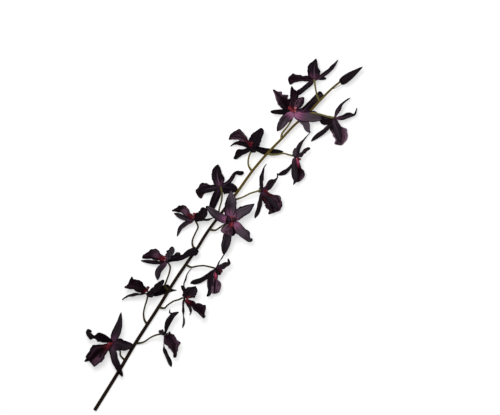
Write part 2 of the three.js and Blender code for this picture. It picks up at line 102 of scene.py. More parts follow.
# Folds round the bud
BUD_WRAPS = 3
BUD_TWIST = 0.6
BUD_FOLD = 0.07

# A direction that no stalk or axis follows, and the smallest ring of a turned section
ASKEW = (0.3, -0.2, 1)
POLE = 0.004

# Steps between the seeds of blooms and blades, and how seeds are brought between 0 and 1
BLOOM_SEED = 100
BLADE_SEED = 7
LIP_SEED = 50
SEED_RANGE = 97

# Fineness of the surfaces
TEPAL_GRID = (44, 9)
LIP_GRID = (54, 18)
STEM_GRID = (360, 24)
STALK_GRID = (60, 14)
KNOT_GRID = (16, 24)
COLUMN_GRID = (30, 28)
BUD_GRID = (70, 60)
LINE_SAMPLES = 60

# Camera, lamp and floor. The picture and the lamp's place are in the plan, and reach, lamp size
# and far end are in metres.
LENS = 300
SENSOR = 36
FAR = 50
PICTURE_WIDTH = 1040
PICTURE_MIDDLE = (323.44, 422.24)
SHARP_HEIGHT = 15
FLOOR_REACH = 12
FLOOR_GLOW = 0.52
SKY = 0.22
LAMP_SIZE = 1.1
LAMP_POWER = 27
LAMP_PLACE = (-380, 520, 2300)
WHITE = (1, 1, 1, 1)
PAPER = (0.9, 0.9, 0.9, 1)

# Colours of the petals, the lips, the columns and the stem
BLACK = (0.0042, 0.0005, 0.0032)
GREY_VIOLET = (0.11, 0.08, 0.105)
MAGENTA = (0.24, 0.07, 0.165)
ORCHID = (0.5, 0.18, 0.34)
RIB_VIOLET = (0.17, 0.1, 0.17)
LIP_BLACK = (0.006, 0.0006, 0.003)
PLUM = (0.14, 0.06, 0.1)
PALE_VEIN_AND_GLINT = (0.26, 0.15, 0.22)
WINE = (0.075, 0.004, 0.01)
ROSE = (0.24, 0.028, 0.045)
PINK = (0.62, 0.09, 0.21)
CRIMSON = (0.22, 0.012, 0.03)
SCARLET = (0.29, 0.03, 0.04)
CAP_PINK = (0.62, 0.2, 0.24)
STEM_DARK = (0.012, 0.003, 0.0006)
OLIVE_BROWN = (0.055, 0.042, 0.014)
OLIVE = (0.121, 0.076, 0.007)
STALK_OLIVE = (0.19, 0.155, 0.05)
STEM_HIGHLIGHT = (0.28, 0.22, 0.075)

# Marks of the pieces that have one tint all over, and the least light left where painted shade darkens a
# fold
KNOT_TINT = (0.2, 0.3, 0)
BUD_TINT = (0.15, 0, 0.2)
STRAND_TINT = (1, 0.5, 0)
DIMMEST = 0.1

# Streaks as (output, across, fanning out, along, scale, detail, soft step)
STREAKS = (
    ("SheenBands", 1.6, 0.0, 0.9, 1.3, 2.0, (0.32, 0.68)),
    ("Fine", 7.0, 0.0, 0.8, 1.6, 3.0, (0.3, 0.7)),
    ("Mottle", 0.6, 1.0, 2.2, 1.9, 2.5, (0.36, 0.64)),
)
STREAK_SHIFT = 40.0
BAND_SHARE = 0.55
VEIN_SHARE = 0.3

# Where a blade darkens towards its rim and tip, and its nap as (scale, detail, share)
PETAL_RIM = 0.62
LIP_RIM = 0.7
RIM_END = 1.02
RIM_TIP = (0.86, 1.0)
NAP = (900.0, 2.0, 0.25)
CREASES = (120.0, 3.0, 0.6)
VEIN_HEIGHT = 0.5
NAP_BUMP = (0.5, 0.0006)

# Petals: their light, the magenta of the root, its bright heart and the rib
PETAL_LIGHT = 0.15
PETAL_GLOSS = (0.52, 0.7)
ROOT_RAGGED = 0.22
ROOT_FROM = 0.14
ROOT_TO = 0.34
ROOT_SPREAD = 0.25
HEART_REACH = (0.2, 0.44)
HEART_FLUSH = (0.6, 1.0)
RIB_WIDTH = (0.02, 0.13)
RIB_LENGTH = (0.1, 0.95)

# Lips: their light, pale veins and painted glint along the rim, and the throat as (colour, fade along,
# fade to the sides)
LIP_LIGHT = -0.02
LIP_GLOSS = (0.45, 0.65)
PALE_VEINS = (0.55, 0.95)
PALE_LENGTH = (0.2, 0.5)
GLINT_WIDTH = (0.6, 0.95)
GLINT_BANDS = (0.2, 0.8, 0.1, 1.0)
GLINT_SHARE = 0.6
THROAT_RAGGED = 0.12
THROAT_SHOWN = (0.02, 0.3)
THROAT_BRIGHT = (0.95, 1.25)
THROAT = (
    (WINE, (0.3, 0.56), (0.45, 1.0)),
    (ROSE, (0.14, 0.4), (0.2, 0.65)),
    (PINK, (0.14, 0.34), (0.25, 0.8)),
)

# Columns: where the foot passes into the cap, and the tones of the cap that bring each colour
COLUMN_ZONE = (0.1, 0.85)
FOOT_TONE = (0.0, 0.5)
CAP_TONES = ((WINE, (0.0, 0.1)), (SCARLET, (0.15, 0.5)), (CAP_PINK, (0.6, 1.0)))

# The stem: where on its length it turns olive, its stalks a little sooner, and the painted highlight
# streaks on its skin
OLIVE_ZONE = (0.56, 0.66)
STALK_AHEAD = 0.06
HIGHLIGHT_GRAIN = (4.0, 9.0)
HIGHLIGHT_NOISE = (1.5, 4.0)
HIGHLIGHT_STEP = (0.35, 0.7)
HIGHLIGHT_REACH = (0.02, 0.28)
STEM_BUMP = (0.3, 0.0005)

# Outlines, in hundredths of a blade's full width at equal steps from root to tip
FULL = 100
SEPAL = (24, 74, 92, 100, 96, 80, 50, 12)
PETAL = (24, 76, 90, 98, 100, 90, 68, 24)
TAILED = (26, 85, 100, 90, 66, 38, 20, 12)
SPATHE = (24, 46, 76, 96, 100, 84, 52, 12)
LIP = (20, 40, 52, 72, 92, 100, 90, 52)
LOBE = (20, 46, 74, 94, 100, 84, 50, 16)
DROP = (30, 75, 95, 100, 85, 60, 45, 30)

# What a blade is where its call doesn't say. Left and right stand in for the outline, and end
# is how much further the tip reaches across the width. Tint is its tone, then the flush of the
# root and the rib of a petal, or the red throat and the pale veins and painted rim glint of a
# lip. Light changes the tone along its length and sides from left to right; it is painted light
# and shade, mixed with the blade's own tone.
DEFAULTS = {
    "face_tip": None, "left": None, "right": None, "end": None, "tip": 0.9, "ragged": 0.02,
    "ruffle": 0.8, "cup": TEPAL_CUP, "callus": 0, "fold": 0.5, "groove": 0.35, "tint": (0.3, 0.1, 0.2),
    "light": (1, 1, 1), "sides": (1, 1, 1), "fold_shade": 0.3,
}


def blade(width, outline, line, face=None, **more):
    """One blade of a bloom, its full width, outline and middle line and the way its front looks."""
    return {**DEFAULTS, "width": width, "outline": outline, "line": line, "face": face, **more}


def sepal(width, line, face=None, **more):
    return blade(width, SEPAL, line, face, **{"ruffle": 0.5, **more})


def petal(width, line, face=None, **more):
    return blade(width, PETAL, line, face, **{"ruffle": 1.4, **more})


def lip(width, line, face=None, outline=LIP, **more):
    usual = {"ruffle": 2, "cup": LIP_CUP, "callus": CALLUS, "tip": 0.94, "tint": (0.6, 1, 0),
             "groove": 0, "fold": 1.4, "fold_shade": 0.7}
    return blade(width, outline, line, face, **{**usual, **more})


def lobe(width, line, face=None, **more):
    return lip(width, line, face, LOBE, **more)


# The blooms from the cut end to the bud. The heart is in the plan, and so is the stalk, from its
# foot on the stem. The lines of blades and the places of a crest are measured from the heart.
# The cap of a column is (tone, size), and a crest is a row of small lumps, (place, radius, tone).
BLOOMS = [dict(
    # 01, nearest the cut end, open towards the camera
    heart=(38, 141, 31), face=(-0.35, -0.25, 0.9), column=(-0.75, -0.1, 0.65), cap=(0.55, 1.1),
    stalk=[(61, 104, 6), (54, 114, 9), (53, 124, 15), (46, 135, 22)],
    tepals=[
        sepal(18, [(11, 26, 2), (18, 64, -3)], left=(30, 100, 116, 108, 86, 56, 36, 10),
              right=(30, 70, 80, 88, 82, 66, 40, 8), tint=(0.36, 0.4, 0.1),
              light=(1.2, 1.1, 1, 0.9, 0.9)),
        blade(20, TAILED, [(-22, 11, 5), (-39, 13, 1), (-48, 17, -3), (-52, 29, -6)],
              left=(25, 40, 50, 70, 85, 90, 92, 90, 42, 38, 75, 55, 55, 50, 20),
              right=(30, 64, 76, 88, 98, 106, 106, 90, 42, 36, 70, 75, 92, 78, 35), tint=(0.1, 0, 0),
              light=(0.2, 0.2, 0.4, 1.5, 2)),
        petal(26, [(7, -3, 1), (26, -6, -1), (43, -5, -5)], left=(30, 100, 120, 110, 90, 75, 50, 25),
              right=(30, 75, 90, 85, 75, 65, 50, 20), tint=(0.3, 0.25, 0)),
        sepal(17, [(1, -10, 0), (5, -32, -2), (12, -54, -7), (20, -71, -11)],
              left=(40, 68, 85, 88, 95, 92, 75, 40), right=(50, 110, 105, 100, 90, 65, 45, 10),
              tint=(0.42, 0.25, 0.1), light=(1.3, 1.1, 0.5, 0.15, 0.05)),
        sepal(16, [(-26, -18, -12), (-60, -40, -29)], tint=(0.02, 0, 0)),
    ],
    lip=[lip(41, [(-19, -13, 3), (-35, -27, 0), (-48, -39, -7)], left=(20, 35, 50, 62, 85, 80, 75, 70),
             right=(20, 30, 50, 87, 98, 78, 72, 60), tip=0.97, tint=(0.7, 0.76, 0.3),
             light=(0.2, 0.5, 1, 0.9), sides=(1, 1.1, 1, 0.1, 0.1, 1, 1.1), fold=2.2, callus=2.2)],
), dict(
    # 02, side on, its lip hanging to the lower right
    heart=(146, 159, 28), face=(0.93, -0.15, 0.25), column=(0.85, 0.35, 0.4), cap=(0, 0.9),
    stalk=[(87, 137.3, 6), (101.5, 142.1, 10), (117.4, 152.3, 17), (131, 158, 24)],
    tepals=[
        blade(16, TAILED, [(6, 23, 4), (15, 38, 6), (22, 44, 4), (30, 46, 0)], (0.6, -0.3, 0.75),
              left=(20, 30, 80, 90, 95, 80, 30, 10), right=(20, 55, 85, 90, 105, 85, 70, 30),
              tint=(0.2, 0.05, 0)),
        blade(5, DROP, [(14, 40.5, 7), (10.6, 44, 8), (10.8, 48.5, 8), (11.4, 52.5, 7)], (0, 0, 1),
              tint=(0.15, 0, 0)),
        blade(14, SPATHE, [(-1.5, -28, -6), (3.4, -41, -12), (14, -69, -26)], (0.97, 0, 0.2),
              face_tip=(0.5, 0.2, 0.8), left=(24, 40, 40, 60, 60, 75, 80, 30),
              right=(20, 40, 60, 90, 110, 85, 70, 20), tint=(0.06, 0, 0)),
        petal(11, [(-6, 3, 11), (-12, 5.5, 27)], (0.9, 0.3, 0.3), tint=(0.3, 0, 0), ruffle=0.2, ragged=0),
        petal(11, [(-5, 4, -12), (-8, 6, -27)], tint=(0.2, 0, 0), ruffle=0.2, ragged=0),
        sepal(13, [(3, -6, -12), (5, -10, -27)], tint=(0.2, 0, 0)),
    ],
    lip=[lip(27, [(9, -9, 5), (18, -23, 6), (21, -49, -5)], (0.4, 0.35, 0.85),
             left=(60, 82, 100, 95, 90, 90, 112, 120, 75, 60, 64, 44, 40, 36, 20),
             right=(50, 70, 100, 122, 132, 128, 116, 98, 74, 58, 42, 20, 20, 28, 24),
             tint=(0.5, 0.05, 0.5), light=(0.6, 0.9, 1.1, 0.5), sides=(0.5, 1, 0.3, 1.6, 2.6), fold=2.4)],
), dict(
    # 03, side on, its lip to the upper left
    heart=(110, 243, 27), face=(-0.42, 0.85, 0.3), column=(0.22, 0.95, 0.3), cap=(0.25, 1.2),
    stalk=[(109, 180, 8), (103.8, 188, 10), (101.9, 202, 14), (105, 216.8, 18), (109, 229.7, 22)],
    tepals=[
        blade(12, TAILED, [(-17, -2, -2), (-34, -3, -6), (-45, -7, -12), (-53.5, -13, -20)],
              (-0.3, 0.94, 0.12), face_tip=(-0.2, 0.5, 0.85), left=(30, 85, 100, 100, 90, 70, 45, 30),
              tint=(0.2, 0, 0)),
        petal(19, [(18, 10, 6), (35, 29, 8)], (-0.4, 0.4, 0.8), left=(24, 46, 70, 82, 84, 75, 50, 20),
              right=(24, 76, 86, 88, 86, 78, 62, 35), tip=0.95, tint=(0.1, 0, 0)),
        sepal(14, [(18, 3, -12), (33, 6, -23), (61, 7, -25.5)], (-0.1, 0.2, 0.95),
              left=(24, 74, 92, 100, 96, 80, 35, 12), right=(50, 100, 130, 122, 115, 90, 35, 12),
              tint=(0.06, 0, 0)),
        petal(11, [(20, 8, -13), (46.5, 14.5, -23.5)], (-0.2, 0.3, 0.9),
              left=(24, 50, 40, 40, 60, 95, 110, 70), tip=0.95, tint=(0.06, 0, 0)),
        petal(16, [(6, -4, 12), (11, -7, 28)], right=(24, 50, 55, 55, 50, 45, 30, 15), tint=(0.15, 0, 0)),
    ],
    lip=[lip(27, [(-10, 10, 4), (-23, 15, 4), (-44.5, 16.5, -2)], (0.3, 0.55, 0.8),
             left=(30, 60, 90, 112, 120, 116, 106, 98, 90, 84, 79, 74, 68, 62, 50),
             right=(40, 50, 55, 60, 70, 84, 98, 112, 112, 106, 110, 144, 150, 110, 70),
             end=(-0.1, -0.03, 0, 0.05), tip=0.97, tint=(0.25, 0.4, 0.3), light=(0.2, 0.2, 0.5, 1, 1.4),
             sides=(1, 0.4, 0.2, 0.3), fold=2)],
), dict(
    # 04, side on, its lip to the lower right
    heart=(187, 234, 29), face=(0.88, -0.25, 0.4), column=(0.75, 0.25, 0.6), cap=(0.3, 1),
    stalk=[(136, 212, 9), (145, 212.8, 13), (152.1, 219.1, 18), (164.3, 227.5, 24), (174.5, 230.6, 27)],
    tepals=[
        petal(10, [(0.6, 12, 10), (-5.6, 27, 17)], (0.4, -0.3, 0.85),
              left=(24, 50, 60, 60, 60, 65, 60, 40), tint=(0.28, 0.1, 0)),
        petal(24, [(9, 12, 7), (23, 26, 11)], (0.3, -0.3, 0.9), left=(24, 76, 85, 95, 95, 85, 65, 50),
              right=(30, 90, 130, 140, 132, 115, 95, 45), end=(0, 0, -0.08, -0.28), tint=(0.35, 0.1, 0)),
        blade(11, TAILED, [(-1.6, 27, -6), (1.6, 39, -10), (6.6, 52, -16), (15.4, 63, -22)],
              (0.95, -0.1, 0.1), face_tip=(0.9, -0.1, 0.35), tint=(0.3, 0, 0)),
        blade(11, SPATHE, [(-3, -9, -2), (-3, -30, -9), (-2, -47, -17), (-4.3, -63, -25)], (0.97, 0, 0.4),
              face_tip=(0.8, 0, 0.5), left=(50, 100, 95, 70, 40, 60, 90, 35),
              right=(50, 110, 105, 80, 45, 60, 90, 40), tint=(0.35, 0.4, 0)),
        blade(10, SPATHE, [(5, -11, -7), (13, -26, -17), (11, -37, -27)], (0.9, 0.3, 0.3),
              face_tip=(0.5, 0.3, 0.8), tint=(0.15, 0, 0)),
    ],
    lip=[lip(27, [(11, -10, 6), (23, -20, 6), (42.5, -35, 0)], (0.2, 0.4, 0.88),
             left=(20, 30, 36, 44, 56, 62, 62, 78, 90, 95, 102, 118, 112, 85, 35),
             right=(20, 42, 55, 53, 50, 48, 48, 50, 53, 55, 58, 63, 68, 75, 65), end=(0.06, 0, 0, -0.06),
             tip=0.96, tint=(0.7, 0.72, 0.2), light=(0.3, 0.4, 0.4, 1.2), sides=(0.8, 0.4, 0.15, 0.6, 1),
             fold=1.8, callus=2.2)],
), dict(
    # 05, side on, its lip to the left
    heart=(150, 311, 29), face=(-0.6, 0.5, 0.62), column=(-0.4, 0.75, 0.5), cap=(0.6, 1),
    stalk=[(153, 251, 10), (146.4, 258.2, 15), (149.2, 268.4, 18), (155.3, 285.2, 22), (157.6, 299, 24)],
    tepals=[
        sepal(10, [(-10, -3, -5), (-31, -2, -13), (-54, 1, -24)], (-0.2, 0.4, 0.85),
              left=(24, 70, 90, 95, 95, 85, 60, 30), right=(20, 40, 60, 70, 75, 70, 40, 15),
              tint=(0.3, 0.2, 0)),
        sepal(14, [(-3, -6, 0), (-13, -16, -2), (-18, -26, -8), (-19, -40, -17)], (-0.3, 0.2, 0.9),
              left=(24, 74, 95, 95, 105, 95, 60, 15), right=(24, 74, 85, 95, 100, 85, 55, 10),
              tint=(0.5, 0.45, 0)),
        petal(19, [(4, 8, 5), (7.3, 17, 10), (15.5, 28.5, 13)], left=(24, 105, 125, 112, 98, 80, 80, 50),
              right=(24, 76, 100, 150, 160, 160, 150, 90), tip=0.97, tint=(0.5, 0.3, 0)),
        petal(12, [(10, 7, -1), (29.5, 15.5, -6)], (-0.3, 0.5, 0.8),
              left=(24, 40, 42, 50, 65, 95, 100, 50), tint=(0.5, 0, 0)),
        sepal(15, [(11, 2, 0), (31, 9, -1), (48, 18, -2), (67, 20, -5)], (-0.2, 0.3, 0.9),
              left=(30, 80, 100, 110, 110, 100, 60, 38, 52, 68, 82, 98, 115, 115, 50),
              right=(30, 50, 50, 65, 82, 95, 105, 108, 112, 115, 120, 125, 130, 110, 40),
              tint=(0.1, 0, 0)),
    ],
    lip=[lip(26, [(-14, 5, 6), (-29, 8, 5), (-50.5, 8.5, -3)], (0.1, 0.45, 0.88),
             left=(20, 40, 50, 46, 44, 42, 40, 35),
             right=(20, 50, 65, 75, 90, 110, 134, 140, 134, 116, 90, 72, 55, 40, 30),
             tint=(0.65, 0.85, 0.2), light=(1, 1.4, 1.4, 0.6, 0.1, 0.5, 0.2),
             sides=(0.2, 0.4, 0.9, 1.3, 1.1), fold=1.8)],
), dict(
    # 06, side on, its lip hanging down
    heart=(252, 295, 30), face=(0.72, -0.5, 0.45), column=(0.75, -0.45, 0.5), cap=(0.12, 1.3),
    stalk=[(190, 302, 12), (201, 298.1, 16), (214, 300.4, 21), (228, 301.3, 25), (240, 299, 27)],
    tepals=[
        blade(13, TAILED, [(3.4, 2, 1), (18, 7, 4), (27.5, 11, 2), (25.5, 21.5, -2)], (0.3, -0.5, 0.8),
              left=(30, 100, 108, 118, 120, 90, 35, 15), right=(30, 120, 120, 100, 72, 50, 35, 20),
              tint=(0.45, 0.4, 0)),
        petal(11, [(5, -5, 3), (9.5, -13, 4)], (0.2, 0.2, 0.95), tint=(0.1, 0, 0)),
        sepal(9, [(6, 12, -6), (17, 29, -13), (22, 37, -17)], (0.6, -0.45, 0.5),
              left=(30, 55, 50, 44, 42, 38, 34, 28), right=(30, 55, 50, 44, 42, 38, 34, 28),
              tint=(0.4, 0, 0)),
        sepal(11, [(-11, -9, -6), (-32, -24, -18), (-53, -31, -29)], (0.3, -0.4, 0.85),
              left=(24, 74, 100, 110, 110, 105, 90, 30), right=(24, 75, 75, 85, 115, 135, 120, 40),
              tint=(0.12, 0.1, 0)),
        blade(13, SPATHE, [(-8, -10, 3), (-12, -28, 4), (-13, -45, -2), (-18, -58, -9)], (0.3, -0.1, 0.9),
              left=(24, 60, 90, 100, 100, 90, 85, 70), right=(24, 46, 85, 100, 88, 55, 35, 30),
              tint=(0.3, 0.1, 0), light=(0.3, 0.6, 1.2, 1.2)),
        petal(13, [(6, 3, -13), (10, 6, -28)], tint=(0.3, 0.1, 0)),
    ],
    lip=[lip(21, [(0, -13, 0), (0.5, -30, -4), (0, -52, -13)], (0.4, 0.1, 0.9),
             left=(20, 35, 40, 40, 38, 36, 55, 85, 98, 100, 100, 92, 82, 68, 35),
             right=(20, 35, 45, 50, 55, 65, 75, 85, 95, 100, 102, 105, 100, 90, 60),
             tint=(1.1, 1.42, 1.2), light=(1.8, 1.2, 0.8, 1.1, 1.4), sides=(0.5, 1.1, 0.9, 1, 0.9))],
), dict(
    # 07, side on, its lip to the left
    heart=(208, 398, 29), face=(-0.5, 0.7, 0.5), column=(0, 0.85, 0.55), cap=(0.6, 1.1),
    stalk=[(211, 336, 14), (204.6, 341.8, 16), (203.7, 353.8, 18), (209.4, 367.8, 21),
           (215.4, 382.2, 23)],
    tepals=[
        sepal(11, [(-6, -1, -3), (-24, 4, -9), (-43, 12, -18)], (-0.1, 0.5, 0.85),
              left=(24, 90, 120, 115, 110, 100, 55, 12), right=(30, 85, 100, 95, 95, 95, 75, 25),
              tint=(0.45, 0.5, 0)),
        sepal(10, [(-5, -4, -3), (-17.5, -9.5, -9), (-29.3, -19.5, -17), (-36.5, -36.4, -28)],
              (-0.4, 0.2, 0.85), right=(24, 70, 95, 108, 102, 85, 55, 20), tint=(0.5, 0.4, 0)),
        petal(22, [(13, 7, 8), (25, 22, 12)], (-0.4, 0.3, 0.85), left=(30, 90, 95, 82, 85, 88, 88, 50),
              right=(24, 76, 95, 112, 115, 110, 90, 40), tint=(0.08, 0, 0)),
        sepal(10, [(12, 0, -1), (26, -2, -3), (40, 3, -6)], (-0.1, 0.85, 0.5), tint=(0.15, 0, 0)),
        petal(14, [(5, 6, -13), (9, 11, -28)], tint=(0.15, 0, 0)),
    ],
    lip=[lip(24, [(-11, 9, 6), (-25, 16, 6), (-44.5, 19.5, 0)], (0.2, 0.5, 0.85),
             left=(30, 55, 68, 62, 56, 52, 48, 45, 43, 40, 38, 36, 34, 38, 30),
             right=(20, 35, 42, 45, 55, 72, 88, 110, 120, 108, 90, 98, 55, 30, 20), end=(0, 0, 0, 0.05),
             tint=(0.8, 0.85, 0.3), light=(1, 1.1, 2.1, 1.8, 0.05, 0.05, 0.6),
             sides=(0.4, 0.7, 1, 1.3, 1.2), fold=1.8)],
), dict(
    # 08, half way along, open towards the camera
    heart=(289, 395, 41), face=(0, -0.12, 1), column=(0.1, 0.1, 1), cap=(0.04, 1.7),
    stalk=[(241, 375, 15), (251, 375, 18), (261.7, 381.4, 23), (274, 389, 29)],
    tepals=[
        petal(25, [(-5, 19, 2), (-6, 42, 1), (-6, 65, -4)], left=(30, 80, 110, 100, 88, 60, 25, 5),
              right=(30, 80, 90, 96, 97, 85, 42, 10), tint=(1.15, 0.75, 0.1),
              light=(1, 0.8, 0.45, 0.3, 0.7, 1.3, 1.2), sides=(0.7, 0.85, 1.5, 2.1)),
        petal(20, [(14, 14, 1), (27, 22, 2), (44, 35, -5)], left=(30, 90, 120, 125, 110, 85, 45, 8),
              right=(24, 76, 85, 87, 86, 72, 40, 6), tint=(1.4, 0.6, 0.1),
              light=(1.1, 1.2, 1.1, 1, 0.95, 0.7, 0.2)),
        petal(19, [(4, -5, 1), (19.5, -23.5, 0), (31.5, -35.6, -6), (39, -43, -10)],
              left=(30, 50, 74, 82, 86, 82, 86, 92, 102, 108, 95, 45, 25, 45, 40),
              right=(30, 70, 120, 150, 160, 145, 122, 110, 100, 94, 88, 82, 76, 60, 30),
              tint=(1.3, 1.1, 0.15), light=(1.1, 1.2, 1.2, 1, 0.6, 1)),
        sepal(16, [(-6, -12, -4), (-11.4, -24, -6), (-15.8, -46, -11), (-20.4, -70.6, -19)],
              left=(24, 90, 120, 115, 122, 110, 75, 25), right=(24, 74, 92, 98, 102, 110, 75, 25),
              tint=(0.8, 0.3, 0.3), light=(1, 1.2, 1.1, 0.8, 0.5, 0.35), sides=(1.2, 1, 0.8, 0.6)),
        petal(18, [(-15, 3, 1), (-34, 12, 0), (-57, 30, -7)], left=(30, 85, 110, 110, 100, 85, 55, 35),
              right=(24, 70, 85, 85, 85, 80, 60, 30), tint=(1.1, 1.3, 0),
              light=(1.3, 1.2, 0.9, 0.8, 1.2, 1.1)),
    ],
    lip=[
        lip(30, [(-5, -9, 9), (-7, -20, 10), (-9, -33, 2)], left=(15, 22, 30, 50, 72, 80, 68, 40),
            right=(15, 20, 50, 100, 125, 120, 95, 50), end=(-0.2, -0.06, 0, -0.05), tint=(1.5, 0.8, 0.6),
            light=(1.6, 1.2, 1, 1.1), sides=(0.05, 0.05, 0.4, 1.4, 0.5, 1.5, 1.2), fold=2.4, callus=2.4),
        lobe(12, [(-6.5, -7, 7), (-10, 0, 11), (-11, 11, 9)], (-0.2, 0, 0.95), tint=(0.5, 0, 0),
             ruffle=0.6, fold=0.6, callus=0),
    ],
    crest=[((-3, -5, 7), 3, 0.55), ((-3.5, -9, 8), 3.5, 0.5), ((-7, -13, 9), 2.6, 0.3),
           ((-3, 7, 6), 2.4, 0.7)],
), dict(
    # 09, seen from behind, its stalk in front
    heart=(262, 465, 25), face=(-0.2, -0.1, -0.97), column=(0.1, 0.1, -0.98), cap=(0, 1),
    stalk=[(253, 397, 16), (257.6, 406.2, 22), (259.9, 420.2, 29), (264.8, 438, 34), (265, 455, 33)],
    tepals=[
        petal(23, [(-5, 14, 0), (-7, 29, -3), (-5, 47, -10)], left=(30, 78, 93, 98, 96, 86, 58, 20),
              right=(40, 104, 128, 120, 96, 80, 55, 15), tint=(0.12, 0.35, 1.1)),
        blade(11, SPATHE, [(19, 11, -2), (28, 27, -8), (36, 31, -11), (49, 29, -15)],
              left=(30, 50, 65, 75, 85, 85, 75, 65, 50, 40, 40, 50, 45, 60, 50),
              right=(30, 40, 50, 60, 65, 65, 70, 80, 88, 75, 80, 98, 110, 100, 40), tip=0.97,
              tint=(0.12, 0.1, 0.8)),
        petal(21, [(12, 0, -3), (36, -5, -15)], right=(50, 135, 140, 125, 110, 90, 70, 30),
              tint=(0.1, 0, 0.2)),
        sepal(17, [(-7.8, -18, -3), (-21, -50, -20)], left=(24, 80, 92, 92, 92, 86, 76, 40),
              right=(24, 74, 100, 102, 97, 85, 70, 40), tint=(0.1, 0.1, 0.3)),
        petal(15, [(-14, -2, -2), (-30, -5, -4), (-47, -9, -10)], tint=(0.1, 0, 0.5)),
    ],
    lip=[lip(29, [(-12, -1, -11), (-30, -4.5, -14), (-52, -10.5, -22)], (0, 0, -1),
             left=(20, 35, 45, 46, 44, 41, 39, 42, 47, 54, 62, 86, 110, 100, 45),
             right=(20, 25, 28, 26, 28, 40, 58, 78, 88, 98, 100, 84, 50, 36, 28), tip=0.97,
             tint=(0.2, 0.15, 1.2))],
), dict(
    # 10, side on, its lip hanging to the lower right
    heart=(348, 457, 29), face=(0.78, -0.4, 0.45), column=(0.9, 0.05, 0.45), cap=(0.3, 1),
    stalk=[(284, 436, 17), (295.7, 439.4, 19), (308.8, 444, 21), (323.4, 451.3, 25), (336.3, 455.4, 27)],
    tepals=[
        blade(11, TAILED, [(-1.8, 24, 2), (3.4, 46, -2), (10, 56.5, -7)], (0.7, -0.2, 0.6),
              left=(30, 100, 125, 120, 80, 45, 20, 10), right=(30, 85, 105, 120, 110, 60, 25, 10),
              tint=(0.3, 0, 0.1)),
        petal(14, [(15.4, 11.6, 4), (27.6, 22.2, 2), (32, 28.2, -1), (32, 37, -3)], (0.3, -0.3, 0.9),
              left=(30, 50, 55, 65, 85, 110, 130, 140, 120, 55, 28, 20, 16, 14, 14),
              right=(30, 75, 110, 115, 110, 100, 95, 85, 70, 45, 30, 20, 16, 14, 14), tip=0.97,
              tint=(0.3, 0.3, 0)),
        sepal(11, [(-2, -10, -5), (-6, -30, -15), (-14.4, -57.5, -27)], (0.6, 0, 0.75),
              left=(24, 74, 95, 120, 130, 130, 105, 30), right=(30, 80, 90, 95, 80, 75, 75, 25),
              tint=(0.25, 0.2, 0)),
        sepal(14, [(7, -8, 6), (19, -19, 10), (35, -40, 6)], (0.1, 0.2, 0.95),
              left=(24, 35, 30, 40, 65, 75, 50, 12), tint=(0.35, 0.3, 0)),
        petal(13, [(-4, 3, -12), (-6, 5, -27)], tint=(0.2, 0, 0)),
    ],
    lip=[lip(37, [(10, -9, -2), (21, -22, -4), (26.5, -45.5, -12)], (0.2, 0.2, 0.95),
             left=(20, 30, 36, 38, 42, 54, 88, 100, 98, 98, 100, 97, 82, 70, 50),
             right=(20, 50, 74, 88, 95, 98, 100, 100, 100, 96, 86, 66, 60, 80, 70), tip=0.97,
             tint=(0.9, 0.9, 0.4), light=(1, 1, 1.3, 1), sides=(1, 1.5, 0.8, 0.1, 0.2, 0.35), fold=2)],
), dict(
    # 11, side on, its lip to the upper left
    heart=(327, 546, 27), face=(-0.35, 0.8, 0.5), column=(0, 0.85, 0.55), cap=(0.35, 1),
    stalk=[(326, 499, 20), (320.9, 508, 21), (319.6, 519, 22), (322.4, 531, 23)],
    tepals=[
        blade(11, TAILED, [(-7, 3, -3), (-24, 10, -7), (-36, 9, -11), (-45, 3, -17)], (-0.1, 0.4, 0.9),
              left=(26, 70, 80, 90, 90, 60, 30, 15), right=(30, 100, 130, 120, 85, 45, 24, 15),
              tint=(0.12, 0, 0)),
        petal(23, [(8, 20, 7), (21, 41.5, 8)], (-0.3, 0.3, 0.9), left=(30, 75, 102, 105, 92, 65, 40, 12),
              right=(40, 105, 142, 130, 116, 106, 92, 45), tip=0.95, tint=(0.08, 0, 0.1)),
        sepal(14, [(-3.5, -3, -3), (-21.8, -11, -13), (-38, -22, -25)], (-0.3, 0.2, 0.9),
              left=(24, 60, 70, 75, 80, 80, 75, 20), right=(24, 70, 70, 95, 145, 135, 60, 20),
              tint=(0.05, 0, 0)),
        sepal(12, [(12, -3, -6), (28, -8, -13), (48, -9, -16), (66, -8, -18)], (-0.2, 0.3, 0.9),
              left=(30, 95, 115, 125, 128, 115, 85, 35), right=(30, 80, 90, 110, 110, 90, 60, 20),
              tint=(0.08, 0, 0.1)),
        petal(14, [(3, -5, 10), (7, -10, 25)], tint=(0.15, 0, 0)),
    ],
    lip=[lip(28, [(-9.5, 12, 5), (-25.5, 20, 5), (-46.5, 23, -2)], (0.4, 0.4, 0.85),
             left=(20, 30, 30, 28, 30, 36, 44, 50, 50, 50, 52, 54, 60, 68, 45),
             right=(20, 30, 34, 36, 42, 53, 69, 94, 115, 125, 118, 95, 80, 55, 35), tip=0.97,
             tint=(0.8, 0.85, 0.15), light=(0.4, 1, 1.3, 0.9, 0.4), fold=1.8)],
), dict(
    # 12, side on, its lip hanging down
    heart=(418, 527, 28), face=(0.62, -0.55, 0.5), column=(0.75, -0.45, 0.45), cap=(0.25, 1),
    stalk=[(359, 536, 21), (368, 532, 23), (381, 532.7, 26), (393, 534.5, 28), (404.6, 531.6, 28)],
    tepals=[
        blade(9, TAILED, [(2, 8, -3), (6, 21.5, -6), (15.5, 34, -9), (32, 53, -16)], (0.4, -0.4, 0.8),
              left=(50, 120, 120, 90, 60, 34, 18, 10), right=(50, 130, 150, 110, 64, 34, 18, 10),
              tint=(0.45, 0.2, 0)),
        petal(12, [(-2.2, 9.5, 13), (-2.8, 18, 28)], tint=(2.4, 0.2, 0)),
        petal(10, [(6, 1.8, 1), (17.5, 10.8, 3), (31, 18.6, 1)], (0.2, -0.5, 0.8),
